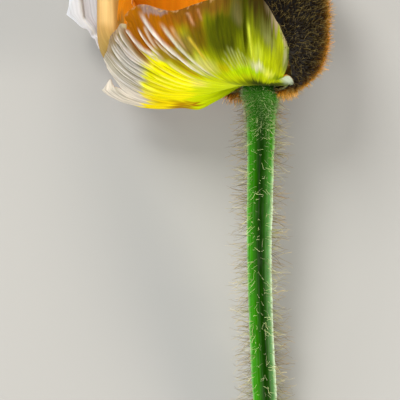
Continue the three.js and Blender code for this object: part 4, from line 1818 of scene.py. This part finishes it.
FRONT_OUTSIDE = Paint(
    "#b8cc00",
    washes=(
        (0.34, 0.2, 0.42, 0.2, "#d2e800", 0.95, 0.5, 3),
        (0.31, 0.49, 0.215, 0.22, "#f8ff00", 1.0, 0.22, 6),
        (0.18, 0.36, 0.13, 0.18, "#f8f800", 1.0, 0.3, 3), (0.05, 0.42, 0.13, 0.22, "#f0e200", 1.0, 0.5),
        (0.16, 0.5, 0.14, 0.07, "#f4f060", 0.7, 0.8), (0.0, 0.46, 0.09, 0.12, "#ece000", 0.8, 0.8),
        (0.1, 1.0, 0.35, 0.47, WHITE, 1.0, 0.14, 3), (0.09, 0.76, 0.165, 0.265, "#dad8c8", 1.0, 0.2, 4),
        (0.19, 0.68, 0.08, 0.16, "#e8e9e2", 0.8, 0.9), (0.4, 0.96, 0.08, 0.4, "#c8bca0", 0.8, 0.4),
        (0.428, 0.72, 0.03, 0.15, "#a07c3c", 0.85, 0.6),
        (0.32, 1.0, 0.16, 0.24, "#947a44", 0.8, 0.8, 2.5),
        (0.515, 0.87, 0.085, 0.26, "#a66600", 1.0, 0.25, 3),
        (0.54, 0.59, 0.05, 0.12, "#a08418", 0.95, 0.5), (0.535, 0.45, 0.02, 0.14, "#c8ba08", 0.9, 0.6),
        (0.59, 0.68, 0.035, 0.16, "#8c7830", 0.9, 0.7), (0.6, 0.47, 0.06, 0.14, "#ccd074", 0.8, 0.8),
        # The first wash below is partly the petal's olive and partly painted shade, darker towards the mouth
        (0.7, 0.74, 0.115, 0.35, "#4e5600", 1.0, 0.7, 2.5), (0.745, 0.6, 0.03, 0.24, "#7c8c02", 0.9, 0.8),
        (0.625, 0.74, 0.03, 0.2, "#6e5804", 0.9, 0.7), (0.61, 0.95, 0.05, 0.22, "#8a5210", 0.95, 0.6),
        # The first wash below is painted shade along the rim near the mouth
        (0.67, 1.0, 0.1, 0.16, "#7a5018", 0.9, 0.7), (0.735, 0.88, 0.03, 0.12, "#6e6a40", 0.8, 0.8),
        # Both washes below are painted shade at the top right, under the cap's edge
        (0.84, 0.95, 0.11, 0.4, "#565c14", 0.95, 0.8), (0.8, 1.02, 0.16, 0.2, "#382a08", 0.95, 0.7),
        (0.66, 0.44, 0.035, 0.09, "#b4ac00", 0.7, 0.9), (0.75, 0.37, 0.13, 0.1, "#b2e000", 0.9, 0.8),
        # The first wash below is a painted highlight
        (0.81, 0.465, 0.055, 0.1, "#dde6b4", 0.95, 0.9), (0.815, 0.61, 0.035, 0.14, "#bcd03c", 0.85, 0.9),
        # The second wash below is a painted highlight
        (0.94, 0.7, 0.05, 0.3, "#98a600", 0.9, 0.8), (0.88, 0.43, 0.05, 0.11, "#e4f25c", 0.85, 0.9),
        # The second wash below is painted shade along the right edge, under the cap
        (0.865, 0.84, 0.05, 0.12, "#868c4c", 0.75, 0.9), (0.995, 0.8, 0.06, 0.4, "#6c7440", 0.9, 0.8),
        # The first wash below is painted light along the petal's thin right edge
        (0.965, 0.84, 0.022, 0.22, "#b4b884", 0.85, 0.9), (0.93, 1.0, 0.1, 0.075, "#b4a486", 0.9, 0.8),
        # The first wash below is painted shade beside the pale flap at the lower right
        (0.96, 0.38, 0.09, 0.13, "#648000", 0.9, 0.9), (0.45, 0.27, 0.1, 0.08, "#f0f070", 0.8, 0.9),
        # Both washes below are painted shade on the underside of the petal's lower bulge
        (0.04, 0.295, 0.14, 0.08, "#ac8600", 1.0, 0.7), (0.09, 0.225, 0.07, 0.03, "#a86800", 0.9, 0.7),
        # The second wash below is the rim's pale margin, partly a painted highlight where the thin edge
        # catches the light
        (0.545, 1.0, 0.037, 0.09, "#9c8478", 0.95, 0.4), (0.58, 1.0, 0.15, 0.012, "#c8a06c", 0.8, 0.6),
        # The second wash below is painted shade low on the petal, near its claw
        (0.38, 1.0, 0.06, 0.04, "#a08870", 0.8, 0.6), (0.64, 0.2, 0.09, 0.14, "#8ca000", 0.7, 0.9),
        # Painted shadow between the petal's foot and the stem
        (0.84, 0.12, 0.27, 0.185, "#3c4800", 1.0, 0.7, 3),
        (1.0, 0.21, 0.05, 0.13, "#c8d8c0", 1.0, 0.5, 3), (0.4, 0.0, 0.5, 0.06, "#94b400", 0.7, 0.8),
    ),
    streak=0.03, streaks=110, contrast=0.08, valley="#a39860", depth=0.8,
)
ORANGE_INSIDE = Paint(
    "#ffa014",
    washes=(
        (0.5, 0.0, 0.9, 0.3, "#e4d820", 0.9, 0.7), (0.5, 1.1, 1.2, 0.16, "#ffac50", 0.7, 0.8),
    ),
    streak=0.08, streaks=80, contrast=0.07, valley="#e07020", depth=0.9,
)
PALE_OUTSIDE = Paint(
    "#ece6e2",
    washes=(
        (0.5, 0.0, 1.2, 0.5, "#e6dc6a", 0.9, 0.7), (0.5, 0.0, 1.2, 0.3, "#b4cc2a", 0.9, 0.7),
    ),
    streak=0.06, streaks=90, contrast=0.05,
)
PALE_INSIDE = Paint(
    "#f0f4fa",
    washes=(
        (0.5, 0.0, 1.2, 0.62, "#f4b050", 0.8, 0.6), (0.5, 0.0, 1.2, 0.35, "#d8d43a", 0.9, 0.7),
    ),
    streak=0.08, streaks=80, contrast=0.06, valley="#e4d4d0", depth=0.35,
)
GOLD_OUTSIDE = Paint(
    "#caa660",
    washes=(
        # The first wash below is a painted highlight on the gold band, and the second painted shade where the
        # band turns away at its edge
        (0.33, 0.9, 0.12, 0.12, "#f2d690", 0.9, 1.0), (0.62, 0.9, 0.1, 0.6, "#b08850", 0.6, 1.0),
        (0.5, 0.0, 1.2, 0.88, "#a8944c", 0.8, 0.3), (0.5, 0.0, 1.2, 0.32, "#a8b81a", 0.9, 0.7),
        (0.0, 0.9, 0.225, 0.5, "#cc7c08", 1.0, 0.1), (0.0, 1.1, 0.225, 0.2, "#dc9030", 0.6, 0.7),
        # The second wash below is a pale line along the margin, partly paler tissue and partly a painted
        # highlight on its rolled edge
        (0.14, 0.885, 0.1, 0.035, "#94702c", 0.9, 0.6), (0.0, 0.95, 0.02, 0.5, "#f2c888", 0.9, 0.5),
    ),
    streak=0.012, streaks=110, contrast=0.07, depth=0.35,
)
BASE_OUTSIDE = Paint(
    "#e0a040",
    washes=(
        (0.5, 0.0, 1.2, 0.6, "#d8d46a", 0.9, 0.6), (0.5, 0.0, 1.2, 0.34, "#b8c8b0", 0.9, 0.7),
    ),
    streak=0.05, streaks=80, contrast=0.06,
)

# --- This flower's hair ---

# The cap's hairs are dark brown; their last two colours paint on an orange-gold glow,
# as of light coming through them at the cap's edge and at its claw.
SEPAL_DOWN = HairFinish("Poppy sepal down", "#020100", "#0c0903", "#905408", "#f4b434")
SEPAL_BRISTLE = HairFinish("Poppy sepal bristle", "#0c0803", "#8a7a46", "#c07c14", "#f8ca60")
# The stem's are glassy, with colours painted by how they face: pale green on its upper side, where the rind
# shows through them, and straw brown elsewhere, as though lit from the side where they stand out from it.
STEM_BRISTLE = HairFinish("Poppy stem bristle", "#a8bc78", "#dcdcb4", "#6c4e1c", "#a47c40")
STEM_DOWN = HairFinish("Poppy stem down", "#7c9852", "#ccdaa4", "#70884c", "#dce4b8")
# Real bristles are 0.03 mm thick; these are drawn twice as thick or more so that they show.
SEPAL_COATS = {
    "down": HairCoat(SEPAL_DOWN, 3, density=11, length=0.95, width=0.13, spread=0.6, wander=0.35, segments=2),
    "bristles": HairCoat(
        SEPAL_BRISTLE, 4, density=6, length=1.75, width=0.07, spread=0.7, wander=0.45, blunt=0.4,
        shortest=0.35,
    ),
}
FALLEN_COATS = {
    "down": HairCoat(SEPAL_DOWN, 6, density=7, length=0.9, width=0.13, spread=0.6, wander=0.35, segments=2),
    "bristles": HairCoat(
        SEPAL_BRISTLE, 7, density=4.5, length=1.5, width=0.09, spread=0.6, wander=0.6, blunt=0.4
    ),
}
STEM_COATS = {
    "bristles": HairCoat(
        STEM_BRISTLE, 8, density=4.5, length=3.5, width=0.06, spread=0.6, wander=1.9, segments=5, blunt=0.45,
        shortest=0.35,
    ),
    "down": HairCoat(
        STEM_DOWN, 9, density=26, length=1.0, width=0.055, spread=0.8, wander=0.4, segments=2, where="young"
    ),
}


# --- The flower ---


def petals() -> list[Petal]:
    """Describes the four petals: two outer ones, and two inner ones still crumpled from the bud.

    Returns:
        The petals.
    """
    front = Petal(
        side="front", slot="petal_front", ribs=FRONT_RIBS, claw_up=0.45,
        outside=FRONT_OUTSIDE, inside=ORANGE_INSIDE,
        tissue=PetalTissue("Poppy petal tissue, lime and white", width=30, length=26, mottle=0.3),
        seed=11, folds=(64, 0.18), crumple=(0.12, 3.5, 0.2, 0.85), columns=370, rows=122,
        pleats=tuple(starmap(Pleat, FRONT_PLEATS)),
        tugs=(
            Tug((0.12, 1.0), (0.035, 0.2), (-0.3, 0.0, 0.2)),
            Tug((0.032, 1.0), (0.026, 0.06), (0.4, 1.3, 0.5)),
            Tug((0.468, 1.0), (0.05, 0.16), (0.4, -1.5, -0.7)),
            Tug((0.487, 1.0), (0.022, 0.1), (-0.9, 0.0, 0.0)),
            Tug((0.445, 1.0), (0.015, 0.08), (0.5, 0.0, 0.0)),
            Tug((0.585, 1.0), (0.06, 0.12), (0.0, -1.0, -0.3)),
            Tug((1.0, 0.17), (0.1, 0.17), (2.6, 0.3, 0.5)),
            Tug((1.0, 0.3), (0.07, 0.13), (0.9, 0.8, 0.3)),
            Tug((1.0, 0.1), (0.09, 0.09), (0.9, -0.3, 0.0)),
            Tug((1.0, 0.72), (0.14, 0.5), (0.0, 0.0, -1.7)),
            Tug((0.05, 0.12), (0.25, 0.12), (0.0, -0.5, 0.0)),
        ),
        calm=(0.22, 0.66), notches=((0.089, 0.028, 0.21),),
    )
    back = Petal(
        side="back", slot="petal_white", ribs=BACK_RIBS, claw_up=0.45,
        outside=PALE_OUTSIDE, inside=PALE_INSIDE,
        tissue=PetalTissue(
            "Poppy petal tissue, white", width=45, length=28, glow=0.55, relief=0.06, mottle=0.22
        ),
        seed=12, folds=(40, 0.1), crumple=(0.42, 3.0, 0.5, 0.85),
        tugs=(
            Tug((0.0, 1.0), (0.008, 0.05), (-0.4, 0.0, 0.0)),
            Tug((0.02, 1.0), (0.01, 0.06), (1.0, 0.0, 0.0)),
            Tug((0.0, 0.965), (0.03, 0.025), (0.0, -0.4, 0.0)),
            Tug((0.08, 1.0), (0.04, 0.1), (1.5, 0.4, 0.3)),
            Tug((0.3, 1.0), (0.06, 0.15), (-1.0, -1.0, 0.8)),
            Tug((0.6, 1.0), (0.08, 0.15), (0.4, -1.2, 0.6)),
        ),
        frill=(0.8, 9, 0.8), scallop=0.004,
    )
    left = Petal(
        side="left", slot="petal_cream", ribs=LEFT_RIBS, claw_up=1.15,
        outside=GOLD_OUTSIDE, inside=ORANGE_INSIDE,
        tissue=PetalTissue(
            "Poppy petal tissue, gold and orange", width=34, length=38, relief=0.015, mottle=0.05
        ),
        seed=13, folds=(50, 0.07), crumple=(1.1, 3.6, 0.875, 0.95), columns=140, rows=140,
        # The groove below is tinted brown as painted shade where the gold band's edge turns away
        pleats=(Pleat((0.4, 0.222, 1.1, 0.222), 0.02, -0.3, "#9a6414", 0.7),),
        tugs=(
            Tug((0.0, 0.926), (0.07, 0.008), (-0.25, 0.0, 0.0)),
            Tug((0.0, 0.948), (0.1, 0.012), (0.9, 0.0, 0.0)),
        ),
        frill=(1.4, 11, 0.9), scallop=0.03,
    )
    right = Petal(
        side="right", slot="petal_orange", ribs=RIGHT_RIBS, claw_up=1.15,
        outside=BASE_OUTSIDE, inside=ORANGE_INSIDE,
        tissue=PetalTissue("Poppy petal tissue, orange", width=34, length=22), seed=14, folds=(36, 0.15),
        crumple=(0.55, 3.0, 0.3, 0.85), frill=(0.7, 12, 0.7), scallop=0.03,
    )
    return [front, back, left, right]


SEPALS = [
    Sepal("cap", "sepal_right", CAP_RIBS, SEPAL_COATS, tuft=1.5, seed=40),
    Sepal(
        "fallen_cap", "sepal_back", FALLEN_CAP_RIBS, FALLEN_COATS, tuft=3, seed=50, lit_at=225, lit_wide=60
    ),
]
LAMPS = [
    Lamp("key", (-0.42, 0.66, 0.66), 3.0, 25, "#fffefc"),
    Lamp("mouth", (0.1, 0.93, 0.3), 1.1, 25, "#fffaf2"),
    Lamp("warm side", (0.9, -0.3, 0.3), 3.1, 20, "#fff2e0"),
    Lamp("left edge", (-0.9, -0.35, 0.28), 1.35, 20),
    Lamp("front", (-0.15, -0.85, 0.45), 1.35, 25),
]


def main() -> None:
    """Builds the studio and the flower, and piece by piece."""
    logging.basicConfig(level=logging.INFO, format="%(message)s")
    Studio(LAMPS).build()
    stem = Stem(STEM_LINE, STEM_RADII, STEM_RADIUS, STEM_COATS)
    for part in (stem, *petals(), *SEPALS, Ovary(OVARY_PROFILE)):
        part.build()
    stamens = Stamens(StamenFinish("Poppy stamen"), seed=5)
    stamens = stamens.grow("stamens", bpy.data.meshes.new("stamens"))
    carry(stamens, "stamen", *sorted(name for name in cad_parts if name.startswith("stamen_")))


if __name__ == "__main__":
    main()
